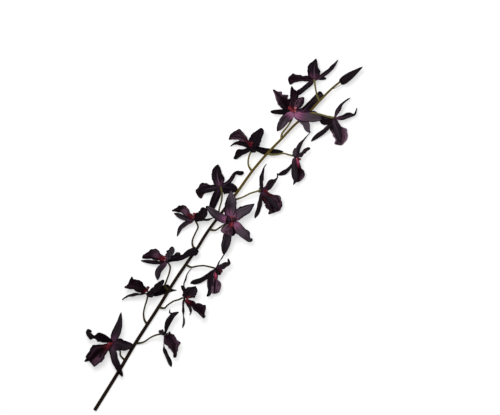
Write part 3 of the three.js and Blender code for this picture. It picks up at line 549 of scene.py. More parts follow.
              left=(24, 50, 65, 80, 115, 130, 120, 60), right=(24, 75, 102, 95, 75, 55, 40, 30),
              tint=(0.5, 0.3, 0)),
        sepal(10, [(-6, -14, -7), (-20, -28, -17), (-37.5, -37.5, -27)], (0.4, -0.2, 0.85),
              left=(24, 60, 65, 75, 110, 135, 100, 30), right=(24, 50, 50, 50, 70, 90, 65, 20),
              tint=(0.28, 0, 0)),
        sepal(13, [(-4, -9, 5), (-2, -31, 7), (-1, -47, 3), (-4.5, -58, -2)], (0.1, 0.1, 0.95),
              right=(24, 50, 68, 94, 106, 92, 36, 15), tint=(0.5, 0.3, 0)),
    ],
    lip=[lip(26, [(5, -12, -2), (6, -31, -5), (5, -52, -13)], (0.4, 0.1, 0.9),
             left=(20, 22, 24, 24, 28, 40, 55, 78, 88, 95, 97, 88, 68, 42, 20), tint=(0.6, 1.4, 0.5),
             light=(1, 0.2, 0.1, 0.6, 1.6), sides=(0.7, 1.2, 0.4, 0.2), fold=1.8)],
), dict(
    # 13, the largest, open towards the camera
    heart=(415, 621, 39), face=(-0.05, 0.08, 1), column=(0.15, 0.9, 0.35), cap=(1, 1.15),
    stalk=[(387, 566, 22), (390.4, 576.3, 25), (402.4, 591.7, 29), (410.5, 605.8, 32)],
    tepals=[
        petal(17, [(-6, -5, 0), (-20.6, -18, -2), (-35.4, -40.4, -9)],
              left=(30, 100, 115, 110, 105, 92, 65, 20), right=(30, 85, 100, 105, 100, 86, 58, 15),
              tint=(1, 1.1, 0), light=(1, 0.5, 0.6, 1.1, 1, 0.4)),
        petal(20, [(3, -5, 0), (21, -10, -4), (40, -14, -12), (61, -14, -20)], (-0.05, -0.1, 1),
              left=(24, 76, 90, 130, 160, 150, 100, 35), right=(30, 86, 100, 98, 80, 66, 46, 20),
              tint=(2.1, 1.3, 0), light=(1, 0.5, 1, 1.3, 0.9, 0.4), sides=(0.1, 0.7, 1.1, 1.3, 1.2)),
        petal(15, [(7, -12, -7), (22, -25, -10), (29.8, -38.6, -14), (34, -42, -15)],
              left=(30, 75, 100, 110, 128, 105, 60, 20), right=(24, 60, 60, 65, 70, 75, 70, 25),
              tint=(3.5, 0.3, 0), light=(0.8, 0.9, 1.1, 1.2), ragged=0.07),
        petal(17, [(18, 3, -12), (36, 20, -20), (57.2, 41.6, -25)], left=(24, 60, 62, 60, 57, 58, 58, 50),
              right=(24, 92, 118, 130, 134, 138, 128, 90), tip=0.96, tint=(0.15, 0.7, 0.5),
              light=(0.5, 0.6, 0.7, 0.8, 2.5, 5), ruffle=0.5),
        blade(12.2, TAILED, [(-15, -0.4, -5), (-49.4, 0.4, -13)], left=(26, 75, 90, 90, 90, 85, 70, 35),
              right=(26, 80, 108, 98, 84, 70, 55, 30), tint=(0.05, 0, 0)),
    ],
    lip=[
        lobe(25, [(-12, 11, 3), (-27, 28, 2), (-44, 46, -6)], left=(20, 50, 96, 112, 96, 64, 28, 10),
             right=(20, 60, 100, 110, 110, 120, 75, 115, 92, 50, 80, 52, 27, 22, 10),
             tint=(1.1, 0.45, 1.4), light=(0.3, 0.15, 0.3, 1.7, 2.4),
             sides=(1.4, 0.2, 0.1, 0.1, 0.3, 1.5), ruffle=2.4, fold=1.8),
        lobe(22, [(-3, 13, 3), (-2, 34, 2), (-5, 53, -5)], left=(20, 50, 62, 58, 56, 50, 34, 12),
             right=(20, 46, 74, 94, 100, 84, 30, 10), tint=(0.5, 0.5, 0), light=(1.4, 0.9, 0.3, 0.1),
             ruffle=2.4, fold=1.8),
        lobe(18, [(4.2, 10, 4), (12.4, 20.2, 5), (20.2, 29.8, 1)], tint=(1.1, 0.5, 0.3),
             light=(1.2, 1.3, 1, 0.3), sides=(0.2, 1.6, 0.8, 0.1), ruffle=1.6, fold=0.8),
    ],
    crest=[((-9.4, 7.5, 5), 3.6, 0.4), ((-6, 4, 6), 3, 0.5), ((-2, 1, 7), 2.7, 0.55),
           ((2.5, -0.5, 7), 2.3, 0.85)],
), dict(
    # 14, seen from behind, its lip hanging down
    heart=(498, 608, 28), face=(0.25, -0.25, -0.93), column=(0.1, 0.1, -0.98), cap=(0.3, 1),
    stalk=[(445, 619, 24), (450.4, 619, 32), (464.3, 616.8, 37), (482, 611.8, 38), (493, 609, 36)],
    tepals=[
        blade(9, TAILED, [(3, 4.4, 0), (9.4, 17.2, -2), (18.3, 30.6, -6), (34.5, 42.6, -14)],
              left=(26, 85, 125, 115, 70, 50, 50, 30), right=(26, 60, 80, 80, 40, 30, 20, 10),
              tint=(0.3, 0.2, 0.7)),
        blade(10, TAILED, [(6, 0, 0), (20.7, 1, -4), (33.6, 5, -8), (43.6, 8.4, -12), (48.4, 22, -17)],
              left=(26, 70, 120, 170, 160, 60, 40, 25), right=(26, 80, 90, 75, 60, 40, 20, 10),
              tint=(0.3, 0.4, 0.5)),
        sepal(10, [(-6.5, -10.9, -4), (-18.7, -23.9, -10), (-33.7, -36.1, -18), (-47.6, -48.5, -27)],
              left=(24, 74, 100, 110, 110, 100, 65, 20), right=(24, 60, 70, 75, 90, 100, 90, 35),
              tint=(0.2, 0, 0.2)),
        petal(17, [(-12, -1.5, -6), (-27, 1.5, -14), (-50, 12, -18)],
              left=(30, 110, 145, 150, 80, 45, 35, 20), right=(30, 70, 75, 80, 85, 75, 55, 15),
              tint=(0.1, 0, 0.3)),
        sepal(16, [(0, -6, 1), (6, -25, 0), (14, -51, -11)], tint=(0.55, 0.1, 0.6)),
    ],
    lip=[lip(28, [(6, -13, -12), (13, -31, -14), (14.5, -56.5, -22)], (0, 0, -1),
             left=(20, 30, 34, 36, 42, 46, 76, 108, 108, 106, 106, 100, 82, 50, 28),
             right=(20, 40, 60, 90, 115, 120, 120, 114, 110, 110, 102, 80, 80, 95, 80), tip=0.97,
             tint=(2.1, 0.3, 1.5), light=(0.3, 0.6, 1.2, 1), sides=(1.2, 1, 0.3, 0.2))],
), dict(
    # 15, the last before the bud, seen from behind
    heart=(456, 688, 26), face=(-0.2, 0, -0.97), column=(0.1, -0.1, -0.98), cap=(0, 1),
    stalk=[(467, 645, 24), (462.4, 656, 30), (459.5, 669, 34), (457.8, 681, 34)],
    tepals=[
        petal(25, [(1, 5, 0), (1, 23, -2), (5, 44, -8)], left=(30, 90, 106, 108, 108, 82, 38, 12),
              right=(30, 80, 105, 105, 72, 50, 30, 10), tint=(0.15, 0.42, 0.9)),
        blade(10, SPATHE, [(6.4, 0.2, 0), (26.7, 13.2, -4), (39.9, 25.2, -8), (51, 42, -15)],
              left=(24, 80, 100, 110, 100, 110, 55, 20), right=(24, 40, 55, 60, 56, 48, 35, 15),
              tint=(0.3, 0.3, 0.6)),
        petal(11, [(10, 2, -6), (26.4, 2.4, -18)], left=(24, 76, 80, 80, 80, 70, 60, 30),
              right=(24, 40, 40, 45, 50, 50, 40, 20), tint=(0.2, 0, 0)),
        sepal(11, [(-5.2, -5.6, -2), (-20.3, -19.8, -8), (-36, -32.3, -15)],
              left=(24, 90, 95, 85, 75, 75, 70, 40), right=(24, 74, 90, 95, 100, 110, 120, 70),
              tint=(0.2, 0.1, 0.2)),
        petal(13, [(-5, 9, -10), (-7, 22, -24)], tint=(0.15, 0, 0)),
    ],
    lip=[lip(22, [(-12, 2, -10), (-32, 2, -12), (-53.5, -0.4, -20)], (0, 0, -1),
             left=(20, 40, 50, 50, 50, 48, 46, 46, 50, 55, 58, 65, 78, 92, 75),
             right=(20, 40, 55, 60, 60, 50, 50, 70, 75, 75, 90, 115, 90, 70, 45), tip=0.97,
             tint=(0.25, 0.1, 0))],
)]

# The main stem from the cut end to the bud, and the thin strand under the bud, in the plan
STEM = (
    (0, 0, 3.95), (49, 79, 4.4), (85, 140, 5.2), (133.4, 215.4, 8.5), (164.5, 266.1, 10.5),
    (190.6, 304.7, 12), (214.2, 338.3, 13.5), (238.5, 376.6, 15), (293, 449, 18), (327.4, 496.9, 20),
    (358, 533.1, 21), (389, 565.1, 22), (414.8, 592.6, 23), (444, 618, 24), (466.6, 642.4, 25),
    (490.9, 666.9, 26), (511.4, 684.2, 27),
)
STRAND = ((490, 666, 25.5), (503, 672, 24), (513, 678, 20))

# Sections turned on an axis, as shares of the radius and of the length
KNOT = ((0, 0), (0.75, 0.17), (1, 0.5), (0.75, 0.83), (0, 1))
COLUMN = ((0, 0), (1, 0), (0.8, 0.45), (1.5, 0.72), (1.35, 0.92), (0, 1))
BUD = ((0, 0), (0.6, 0.005), (0.92, 0.09), (1.02, 0.25), (0.88, 0.48), (0.56, 0.7), (0.3, 0.88), (0, 1))


def unit(vector):
    vector = np.asarray(vector, float)
    return vector / np.linalg.norm(vector, axis=-1, keepdims=True)


def spline(points, place):
    """Values and slopes of a smooth line through points, at places counted in points."""
    known = np.asarray(points, float)
    known = np.concatenate([[2 * known[0] - known[1]], known, [2 * known[-1] - known[-2]]])
    low = np.minimum(place.astype(int), len(points) - 2)
    w = (place - low).reshape(-1, *[1] * (known.ndim - 1))
    a, b, c, d = (known[low + k] for k in range(4))
    first, second, third = c - a, 2 * a - 5 * b + 4 * c - d, 3 * (b - c) + d - a
    return b + w / 2 * (first + w * (second + w * third)), (first + w * (2 * second + 3 * w * third)) / 2


def smooth(values, share):
    """A smooth line through values spread evenly from 0 to 1, read at each share."""
    return spline(values, np.clip(share, 0, 1) * (len(values) - 1))[0]


def line_through(points, shares):
    """Places and directions on a smooth line through points, at equal-length shares.

    A share over 1 runs straight on past the end."""
    spans = len(points) - 1
    steps = np.linspace(0, spans, LINE_SAMPLES * spans + 1)
    run = np.linalg.norm(np.diff(spline(points, steps)[0], axis=0), axis=1).cumsum()
    run = np.concatenate([[0], run])
    place, slope = spline(points, np.interp(np.minimum(shares, 1) * run[-1], run, steps))
    ahead = unit(slope)
    return place + np.maximum(shares - 1, 0)[:, None] * run[-1] * ahead, ahead


def wobble(share, seed, slowest=1, fastest=4):
    """An uneven smooth line, mostly between -1 and 1, the same for the same seed."""
    draw = np.random.default_rng(seed)
    total = np.zeros_like(share)
    for speed in range(slowest, fastest + 1):
        total += np.sin(2 * math.pi * (speed * share + draw.random())) / math.sqrt(speed)
    return total * WOBBLE_SIZE


class Soup:
    """Points, faces and colour marks gathered for one mesh."""

    def __init__(self):
        self.points = []
        self.faces = []
        self.leaf = []
        self.tint = []
        self.count = 0

    def add(self, points, faces, leaf, tint):
        self.faces.extend([tuple(int(i) + self.count for i in face) for face in faces])
        self.points.append(points)
        self.leaf.append(leaf)
        self.tint.append(np.broadcast_to(np.asarray(tint, float), points.shape))
        self.count += len(points)


def in_part(points):
    """Plan millimetres to the part's own metres."""
    cos, sin = math.cos(STEM_TURN), math.sin(STEM_TURN)
    right, up, height = np.asarray(points, float).T
    x = right * cos + up * sin - PLAN_MIDDLE[0]
    y = -right * sin + up * cos - PLAN_MIDDLE[1]
    return np.column_stack([x, y, height]) * MM


def grid_faces(rows, across, start=0, wrap=False, flip=False):
    """Four-sided faces of a grid of points, closed into a ring where wrap is set."""
    row = np.arange(rows - 1)[:, None] * across
    step = np.arange(across if wrap else across - 1)[None, :]
    a = row + step
    b = row + (step + 1) % across
    quads = np.stack([a, b, b + across, a + across], axis=-1).reshape(-1, 4) + start
    return quads[:, ::-1] if flip else quads


def half_widths(form, t, u, turned, seed):
    """Half the width of a blade at each place, its tip rounded and its edges a little torn."""
    left, right = (smooth(np.divide(form[key] or form["outline"], FULL), t) for key in ("left", "right"))
    if turned:
        left, right = right, left
    half_width = form["width"] / 2 * np.where(u < 0, right, left)
    round_off = np.clip((t - form["tip"]) / (1 - form["tip"]), 0, 1)
    half_width = half_width * np.sqrt(TIP_OPEN - round_off ** 2) + HEM
    torn = np.where(u < 0, wobble(t, seed), wobble(t, seed + 1))
    return half_width * (1 + form["ragged"] * torn * np.minimum(1, TEAR_RISE * t))


def callus_height(form, t, u):
    """The raised crest near the root of a lip, with a lower wing on either side."""
    start, end = CALLUS_REACH
    crest = np.where(t < end, np.maximum(0, np.sin(math.pi * (t - start) / (end - start))), 0)
    wing = np.exp(-((np.abs(u) - CALLUS_WING_PLACE) / CALLUS_WING_WIDTH) ** 2)
    ridge = np.maximum(0, 1 - CALLUS_SLOPE * np.abs(u))
    return form["callus"] * crest * (ridge + CALLUS_WING_HEIGHT * wing)


def blade_faces(rows, across):
    """Faces of the front, the back and the rim of a blade."""
    total = rows * across
    rim = np.concatenate([
        np.arange(across), np.arange(1, rows) * across + across - 1,
        np.arange(across - 2, -1, -1) + (rows - 1) * across, np.arange(rows - 2, 0, -1) * across])
    after = np.roll(rim, -1)
    return np.vstack([grid_faces(rows, across, flip=True), grid_faces(rows, across, total),
                      np.column_stack([rim, after, after + total, rim + total])])


def add_blade(soup, form, line, face, grid, phase, seed):
    """A thin closed leaf-like solid, cupped and ruffled along its edges."""
    rows, half = grid
    across = 2 * half + 1
    t, u = np.meshgrid(np.linspace(0, 1, rows + 1), np.linspace(-1, 1, across), indexing="ij")
    t, u = t.ravel(), u.ravel()
    turned = face[2] < 0
    reach = smooth(form["end"], (u + 1) / 2) if form["end"] else 0
    place, ahead = line_through(line, t * (1 + reach * t ** END_RISE))
    tip_face = unit(form["face_tip"]) if form["face_tip"] else face
    side = unit(np.cross(face + (tip_face - face) * t[:, None], ahead))
    up = np.cross(ahead, side)
    half_width = half_widths(form, t, u, turned, seed)
    edge = u * u
    turn = 2 * math.pi * WAVES * t + phase
    flutter = form["ruffle"] * np.sin(math.pi * np.minimum(1, RUFFLE_RISE * t)) * edge
    fine = FRILL_SHARE * form["ruffle"] * edge * edge * np.where(
        u < 0, wobble(t, seed + 2, *FRILL_WAVES), wobble(t, seed + 3, *FRILL_WAVES))
    fine = fine * np.minimum(1, FRILL_RISE * t)
    crease = wobble((u + 1) / 2, seed + 4, *FOLD_WAVES)
    fold = form["fold"] * crease * np.sin(math.pi * np.minimum(1, FOLD_RISE * t))
    groove = -form["groove"] * np.exp(-(u / GROOVE_WIDTH) ** 2) * (1 - GROOVE_FADE * t)
    lift = (form["cup"] * half_width * edge + flutter * np.sin(turn + np.where(u < 0, 0, WAVE_SHIFT))
            + callus_height(form, t, u) + fine + fold + groove)
    spread = half_width * u * (1 + WAVE_SPREAD * flutter * np.sin(2 * turn))
    middle = place + side * spread[:, None] + up * lift[:, None]
    thick = (BLADE_THICK + (RIM_THICK - BLADE_THICK) * np.maximum(edge, t ** RIM_RISE))[:, None] / 2
    leaf = np.column_stack([u, t, np.full(len(t), seed % SEED_RANGE / SEED_RANGE)])
    from_left = (1 + u) / 2 if turned else (1 - u) / 2
    # Painted shade and light: the tone darkens in the valleys of the folds and lightens on their ridges
    lit = np.maximum(DIMMEST, 1 + form["fold_shade"] * crease)
    # Painted light and shade along the length and across the sides, mixed with the blade's own tone
    tone = form["tint"][0] * smooth(form["light"], t) * smooth(form["sides"], from_left) * lit
    tint = np.column_stack([np.maximum(tone, 0), np.tile(form["tint"][1:], (len(t), 1))])
    soup.add(in_part(np.vstack([middle + up * thick, middle - up * thick])),
             blade_faces(rows + 1, across), np.vstack([leaf, leaf]), np.vstack([tint, tint]))


def add_rings(soup, points, share, turn, seed, tint):
    """A skin with closed ends over rings of points, one ring at each share of the length."""
    rows, sides = len(share), len(turn)
    faces = list(grid_faces(rows, sides, wrap=True))
    faces.append(np.arange(sides)[::-1])
    faces.append(np.arange(sides) + (rows - 1) * sides)
    leaf = np.column_stack([np.tile(turn / math.pi - 1, rows), np.repeat(share, sides),
                            np.full(rows * sides, seed)])
    soup.add(in_part(points), faces, leaf, tint)


def add_tube(soup, points, radii, grid, tint, seed=0):
    """A round tube whose radius changes along a line."""
    rows, sides = grid
    share = np.linspace(0, 1, rows + 1)
    turn = np.linspace(0, 2 * math.pi, sides, endpoint=False)
    place, ahead = line_through(points, share)
    radius = smooth(radii, share)
    across = np.array(ASKEW)
    rings = []
    for i in range(rows + 1):
        across = unit(across - across.dot(ahead[i]) * ahead[i])
        beside = np.cross(ahead[i], across)
        rim = across * np.cos(turn)[:, None] + beside * np.sin(turn)[:, None]
        rings.append(place[i] + radius[i] * rim)
    add_rings(soup, np.vstack(rings), share, turn, seed, tint)


def add_lathe(soup, centre, axis, profile, radius, length, grid, tint, seed=0, shape=None):
    """A knot, cap or bud turned on an axis, its radius changed by shape(turn, share)."""
    rows, sides = grid
    share = np.linspace(0, 1, rows + 1)
    turn = np.linspace(0, 2 * math.pi, sides, endpoint=False)
    wide, high = (np.repeat(smooth(values, share), sides) for values in zip(*profile))
    around = np.tile(turn, rows + 1)
    r = np.maximum(wide, POLE) * radius
    if shape:
        r = r * shape(around, np.repeat(share, sides))
    axis = unit(axis)
    across = unit(np.cross(axis, ASKEW))
    beside = np.cross(axis, across)
    points = (np.asarray(centre, float) + axis * (high * length)[:, None]
              + across * (r * np.cos(around))[:, None] + beside * (r * np.sin(around))[:, None])
    add_rings(soup, points, share, turn, seed, tint)


def add_object(name, data):
    made = bpy.data.objects.new(name, data)
    bpy.context.scene.collection.objects.link(made)
    return made


def piece(name, soup, material, node):
    """One mesh object made of a soup, riding on the part in place of a node of the frame."""
    data = bpy.data.meshes.new(name)
    data.from_pydata(np.vstack(soup.points).tolist(), [], soup.faces)
    for title, rows in (("leaf", soup.leaf), ("tint", soup.tint)):
        values = data.attributes.new(title, "FLOAT_VECTOR", "POINT")
        values.data.foreach_set("vector", np.vstack(rows).astype(np.float32).ravel())
    data.polygons.foreach_set("use_smooth", [True] * len(data.polygons))
    data.materials.append(material)
    made = add_object(name, data)
    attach(made, "root")
    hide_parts(node)


def front_of(bloom, lift, drop):
    """A place in front of a bloom's knot, moved towards the lip by drop."""
    face = unit(bloom["face"])
    aim = unit(bloom["lip"][0]["line"][0])
    down = unit(aim - face * aim.dot(face))
    return np.asarray(bloom["heart"]) + face * (HUB_RADIUS + lift) + down * drop


def add_blades(soup, bloom, forms, roots, grid, turns, seed):
    """The blades of a bloom, each on a line from its own root."""
    for k, (form, root) in enumerate(zip(forms, roots)):
        line = np.vstack([root, np.asarray(form["line"]) + bloom["heart"]])
        look = unit(form["face"] or bloom["face"])
        add_blade(soup, form, line, look, grid, turns[0] + turns[1] * k, seed + BLADE_SEED * k)


def make_tepals(bloom, number):
    soup = Soup()
    heart = np.asarray(bloom["heart"], float)
    face = unit(bloom["face"])
    add_lathe(soup, heart - face * HUB_RADIUS, face, KNOT, HUB_RADIUS, 2 * HUB_RADIUS, KNOT_GRID,
              KNOT_TINT)
    forms = bloom["tepals"]
    roots = [heart + unit(form["line"][0]) * ROOT_START for form in forms]
    add_blades(soup, bloom, forms, roots, TEPAL_GRID, TEPAL_TURNS, BLOOM_SEED * number)
    return soup


def make_lip(bloom, number):
    soup = Soup()
    forms = bloom["lip"]
    roots = [front_of(bloom, LIP_LIFT, LIP_DROP)] * len(forms)
    add_blades(soup, bloom, forms, roots, LIP_GRID, LIP_TURNS, BLOOM_SEED * number + LIP_SEED)
    return soup


def make_column(bloom, number):
    soup = Soup()
    root = front_of(bloom, GAP + COLUMN_LIFT, -COLUMN_RISE)
    tone, size = bloom["cap"]
    add_lathe(soup, root, bloom["column"], COLUMN, COLUMN_RADIUS * size, COLUMN_LENGTH * size,
              COLUMN_GRID, (tone, 0, 0), seed=number / len(BLOOMS))
    for place, radius, tone in bloom.get("crest", ()):
        foot = np.asarray(bloom["heart"]) + place
        add_lathe(soup, foot, bloom["face"], KNOT, radius, 2 * radius, KNOT_GRID, (tone, 0, 0))
    return soup


def make_stem():
    soup = Soup()
    stem_share = np.linspace(0, 1, STEM_GRID[0] + 1)
    places, _ = line_through(STEM, stem_share)
    tint = np.zeros((len(stem_share), 3))
    tint[:, 0] = stem_share
    add_tube(soup, STEM, STEM_RADIUS, STEM_GRID, np.repeat(tint, STEM_GRID[1], axis=0))
    for number, bloom in enumerate(BLOOMS):
        distance = np.linalg.norm(places - np.asarray(bloom["stalk"][0], float), axis=1)
        foot = int(distance.argmin())
        end = np.asarray(bloom["heart"]) - unit(bloom["face"]) * (HUB_RADIUS + GAP + STALK_CLEAR)
        line = np.vstack([places[foot], bloom["stalk"][1:], end])
        add_tube(soup, line, STALK_RADIUS, STALK_GRID, (stem_share[foot] + STALK_AHEAD, 1, 0),
                 seed=number / len(BLOOMS))
    add_tube(soup, STRAND, STRAND_RADIUS, STALK_GRID, STRAND_TINT)
    return soup


def make_bud():
    def folded(turn, share):
        wrap = (turn / (2 * math.pi) * BUD_WRAPS + share * BUD_TWIST) % 1
        return 1 + BUD_FOLD * (wrap - 0.5) * np.sin(math.pi * share) ** 0.5

    soup = Soup()
    add_lathe(soup, BUD_BASE, BUD_AIM, BUD, BUD_RADIUS, BUD_LENGTH, BUD_GRID, BUD_TINT, shape=folded)
    return soup


def put(tree, socket, value):
    """Feeds a socket from another socket, or sets it."""
    if isinstance(value, bpy.types.NodeSocket):
        tree.links.new(value, socket)
    else:
        socket.default_value = value


def add_node(tree, kind, values=(), **settings):
    """Adds a node and feeds or sets its inputs, in their order or by name; gives its outputs."""
    node = tree.nodes.new("ShaderNode" + kind)
    for name, setting in settings.items():
        setattr(node, name, setting)
    for key, value in values.items() if isinstance(values, dict) else enumerate(values):
        put(tree, node.inputs[key], value)
    return node.outputs


def maths(tree, operation, *values, clamp=False):
    return add_node(tree, "Math", values, operation=operation, use_clamp=clamp)[0]


def times(tree, *values, clamp=False):
    """The product of values, held between 0 and 1 where clamp is set."""
    total, *between, last = values
    for value in between:
        total = maths(tree, "MULTIPLY", total, value)
    return maths(tree, "MULTIPLY", total, last, clamp=clamp)


def blend(tree, value, share, base):
    """A share of a value on top of a base."""
    return maths(tree, "MULTIPLY_ADD", value, share, base)


def ease(tree, value, start, end, low=0.0, high=1.0):
    """A soft step from low at start to high at end."""
    values = (value, start, end, low, high)
    return add_node(tree, "MapRange", values, interpolation_type="SMOOTHSTEP")[0]


def fade(tree, value, start, end):
    """A soft step from 1 at start to 0 at end."""
    return ease(tree, value, start, end, 1.0, 0.0)


def tinted(tree, share, low, high):
    """A colour between low and high."""
    low, high = ((*colour, 1) if isinstance(colour, tuple) else colour for colour in (low, high))
    return add_node(tree, "Mix", {0: share, 6: low, 7: high}, data_type="RGBA")[2]


def over(tree, colour, shade, *shares):
    """A colour with a shade laid over it, as strongly as the product of the shares."""
    return tinted(tree, times(tree, *shares, clamp=True), colour, shade)


def noise(tree, place, scale, detail):
    return add_node(tree, "TexNoise", {"Vector": place, "Scale": scale, "Detail": detail})[0]


def bump(tree, height, strength, distance):
    return add_node(tree, "Bump", {"Strength": strength, "Distance": distance, "Height": height})[0]


def marks(tree, name):
    """The three numbers that every point carries under a name."""
    mark = add_node(tree, "Attribute", attribute_name=name)["Vector"]
    return add_node(tree, "SeparateXYZ", (mark,))[:3]


def new_group(name, inputs, outputs):
    group = bpy.data.node_groups.new(name, "ShaderNodeTree")
    for titles, way in ((inputs, "INPUT"), (outputs, "OUTPUT")):
        for title in titles:
            group.interface.new_socket(title, in_out=way, socket_type="NodeSocketFloat")
    entry = group.nodes.new("NodeGroupInput")
    leave = group.nodes.new("NodeGroupOutput")
    return group, entry.outputs, leave.inputs


def streak_group():
    """Lengthwise streaks: the first for broad light and dark bands of painted sheen, Fine for veins,
    Mottle for patches.
    """
    outputs = [streak[0] for streak in STREAKS]
    group, given, made = new_group("streaks", ("Across", "Along", "Seed"), outputs)
    shift = times(group, given["Seed"], STREAK_SHIFT)
    for title, across, fan, along, scale, detail, step in STREAKS:
        wide = times(group, given["Across"], blend(group, given["Along"], fan, across))
        place = add_node(group, "CombineXYZ", (wide, times(group, given["Along"], along), shift))[0]
        put(group, made[title], ease(group, noise(group, place, scale, detail), *step))
    return group


def rim_group():
    """1 in the middle of a blade, falling to 0 at its edges and its tip."""
    group, given, made = new_group("rim", ("Across", "Along", "Start"), ("Middle",))
    inner = fade(group, maths(group, "ABSOLUTE", given["Across"]), given["Start"], RIM_END)
    put(group, made["Middle"], times(group, inner, fade(group, given["Along"], *RIM_TIP)))
    return group


def nap_group():
    """The fine nap of the surface as a height."""
    group, given, made = new_group("nap", ("Veins",), ("Height",))
    where = add_node(group, "TexCoord")["Object"]
    fuzz, creases = (times(group, noise(group, where, scale, detail), share)
                     for scale, detail, share in (NAP, CREASES))
    total = maths(group, "ADD", fuzz, creases)
    put(group, made["Height"], blend(group, given["Veins"], VEIN_HEIGHT, total))
    return group


def new_material(name, **fixed):
    """A material with its shader, whose constant values are given by socket name."""
    made = bpy.data.materials.new(name)
    made.use_nodes = True
    shader = made.node_tree.nodes["Principled BSDF"]
    for title, value in fixed.items():
        shader.inputs[title.replace("_", " ")].default_value = value
    return made, made.node_tree, shader.inputs


def blade_light(tree, bands, base, fine):
    """How light a blade is before its own tone, from its broad bands and its veins; on a petal the bands
    are painted sheen.
    """
    return blend(tree, fine, VEIN_SHARE, blend(tree, bands, BAND_SHARE, base))


def blade_skin(tree, shader, colour, mottle, gloss, fine, nap):
    """Gives a blade's shader its colour, its uneven gloss and its nap."""
    put(tree, shader["Base Color"], colour)
    put(tree, shader["Roughness"], ease(tree, mottle, 0.0, 1.0, *gloss))
    height = add_node(tree, "Group", (fine,), node_tree=nap)[0]
    put(tree, shader["Normal"], bump(tree, height, *NAP_BUMP))


def petal_material(streaks, rim, nap):
    made, tree, shader = new_material("petal", Specular_IOR_Level=0.07, Sheen_Weight=0.01,
                                      Sheen_Roughness=0.45)
    across, along, seed = marks(tree, "leaf")
    tone, flush, rib = marks(tree, "tint")
    sheen_bands, fine, mottle = add_node(tree, "Group", (across, along, seed), node_tree=streaks)
    middle = add_node(tree, "Group", (across, along, PETAL_RIM), node_tree=rim)[0]
    side = maths(tree, "ABSOLUTE", across)
    # Painted sheen: broad uneven bands lighten the petal from black towards grey-violet
    light = blade_light(tree, sheen_bands, PETAL_LIGHT, fine)
    colour = over(tree, BLACK, GREY_VIOLET, light, middle, tone)
    ragged = blend(tree, fine, ROOT_RAGGED, along)
    reach = blend(tree, flush, ROOT_SPREAD, ROOT_TO)
    colour = over(tree, colour, MAGENTA, fade(tree, ragged, ROOT_FROM, reach), middle, flush)
    colour = over(tree, colour, ORCHID, fade(tree, ragged, *HEART_REACH), middle,
                  ease(tree, flush, *HEART_FLUSH))
    colour = over(tree, colour, RIB_VIOLET, fade(tree, side, *RIB_WIDTH),
                  fade(tree, along, *RIB_LENGTH), rib)
    blade_skin(tree, shader, colour, mottle, PETAL_GLOSS, fine, nap)
    return made


def lip_material(streaks, rim, nap):
    made, tree, shader = new_material("lip", Specular_IOR_Level=0.06, Sheen_Weight=0.01,
                                      Sheen_Roughness=0.4)
    across, along, seed = marks(tree, "leaf")
    tone, throat, vein_and_glint = marks(tree, "tint")
    sheen_bands, fine, mottle = add_node(tree, "Group", (across, along, seed), node_tree=streaks)
    middle = add_node(tree, "Group", (across, along, LIP_RIM), node_tree=rim)[0]
    side = maths(tree, "ABSOLUTE", across)
    light = blade_light(tree, mottle, LIP_LIGHT, fine)
    colour = over(tree, LIP_BLACK, PLUM, light, middle, tone)
    veins = times(tree, ease(tree, fine, *PALE_VEINS), ease(tree, along, *PALE_LENGTH))
    # Painted highlight: a pale glint along the lip's rim, broken up by broad bands, laid with the lip's
    # own pale veins
    rim_glint = times(tree, ease(tree, side, *GLINT_WIDTH), ease(tree, sheen_bands, *GLINT_BANDS))
    colour = over(tree, colour, PALE_VEIN_AND_GLINT, blend(tree, rim_glint, GLINT_SHARE, veins), vein_and_glint, tone)
    ragged = blend(tree, fine, THROAT_RAGGED, along)
    spill = maths(tree, "DIVIDE", ragged, maths(tree, "MINIMUM", throat, 1.0))
    spot = maths(tree, "DIVIDE", ragged, throat)
    shown = ease(tree, throat, *THROAT_SHOWN)
    bright = ease(tree, throat, *THROAT_BRIGHT)
    for (shade, length, width), place, strength in zip(THROAT, (spill, spill, spot),
                                                       (shown, shown, bright)):
        colour = over(tree, colour, shade, fade(tree, place, *length), fade(tree, side, *width),
                      strength)
    blade_skin(tree, shader, colour, mottle, LIP_GLOSS, fine, nap)
    return made


def column_material():
    made, tree, shader = new_material("column", Specular_IOR_Level=0.2, Roughness=0.45,
                                      Subsurface_Weight=0.08, Subsurface_Scale=0.002)
    _, along, _ = marks(tree, "leaf")
    cap, _, _ = marks(tree, "tint")
    low = tinted(tree, ease(tree, cap, *FOOT_TONE), LIP_BLACK, CRIMSON)
    high = LIP_BLACK
    for shade, tones in CAP_TONES:
        high = tinted(tree, ease(tree, cap, *tones), high, shade)
    put(tree, shader["Base Color"], tinted(tree, ease(tree, along, *COLUMN_ZONE), low, high))
    return made


def stem_material():
    made, tree, shader = new_material("stem", Specular_IOR_Level=0.1, Roughness=0.5)
    across, along, seed = marks(tree, "leaf")
    height, stalk, _ = marks(tree, "tint")
    low = tinted(tree, stalk, STEM_DARK, OLIVE_BROWN)
    high = tinted(tree, stalk, OLIVE, STALK_OLIVE)
    colour = tinted(tree, ease(tree, height, *OLIVE_ZONE), low, high)
    grain = (times(tree, value, count) for value, count in zip((across, along), HIGHLIGHT_GRAIN))
    place = add_node(tree, "CombineXYZ", (*grain, seed))[0]
    # Painted highlight: pale streaks along the stem, stronger where it turns olive; the same streaks give
    # its bumps
    highlight_streaks = ease(tree, noise(tree, place, *HIGHLIGHT_NOISE), *HIGHLIGHT_STEP)
    highlight_share = ease(tree, height, *OLIVE_ZONE, *HIGHLIGHT_REACH)
    put(tree, shader["Base Color"], over(tree, colour, STEM_HIGHLIGHT, highlight_streaks, highlight_share))
    put(tree, shader["Normal"], bump(tree, highlight_streaks, *STEM_BUMP))
    return made


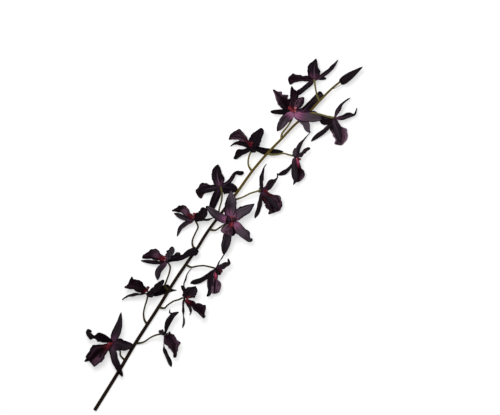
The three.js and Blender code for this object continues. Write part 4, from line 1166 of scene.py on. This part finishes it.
def make_floor():
    data = bpy.data.meshes.new("floor")
    r = FLOOR_REACH
    data.from_pydata([(-r, -r, 0), (r, -r, 0), (r, r, 0), (-r, r, 0)], [], [(0, 1, 2, 3)])
    made, _, _ = new_material("paper", Roughness=1.0, Specular_IOR_Level=0.0, Base_Color=PAPER,
                              Emission_Color=WHITE, Emission_Strength=FLOOR_GLOW)
    data.materials.append(made)
    add_object("floor", data)


def make_light():
    world = bpy.data.worlds.new("sky")
    bpy.context.scene.world = world
    world.use_nodes = True
    sky = world.node_tree.nodes["Background"]
    sky.inputs["Color"].default_value = WHITE
    sky.inputs["Strength"].default_value = SKY
    lamp = bpy.data.lights.new("softbox", "AREA")
    lamp.shape = "DISK"
    lamp.size = LAMP_SIZE
    lamp.energy = LAMP_POWER
    lit = add_object("softbox", lamp)
    middle, place = in_part([(*PICTURE_MIDDLE, 0), np.add((*PICTURE_MIDDLE, 0), LAMP_PLACE)])
    lit.location = place
    lit.rotation_euler = Vector(place - middle).to_track_quat("Z", "Y").to_euler()


def make_camera():
    lens = bpy.data.cameras.new("camera")
    lens.lens = LENS
    lens.sensor_width = SENSOR
    lens.clip_end = FAR
    camera = add_object("camera", lens)
    distance = PICTURE_WIDTH * LENS / SENSOR
    camera.location = in_part([(*PICTURE_MIDDLE, SHARP_HEIGHT + distance)])[0]
    camera.rotation_euler = (0, 0, -STEM_TURN)
    bpy.context.scene.camera = camera


streaks = streak_group()
rim = rim_group()
nap = nap_group()
petals = petal_material(streaks, rim, nap)
lips = lip_material(streaks, rim, nap)
columns = column_material()
piece("stem_fine", make_stem(), stem_material(), "flower_stem")
piece("bud_fine", make_bud(), petals, "bud")
for number, bloom in enumerate(BLOOMS, 1):
    for part, make, material, slot in (("tepals", make_tepals, petals, "tepals"),
                                       ("lip", make_lip, lips, "lips"),
                                       ("column", make_column, columns, "columns")):
        node = f"bloom_{number:02d}_{part}"
        piece(node + "_fine", make(bloom, number), material, node)
make_floor()
make_light()
make_camera()
bpy.context.scene.view_settings.view_transform = "Standard"
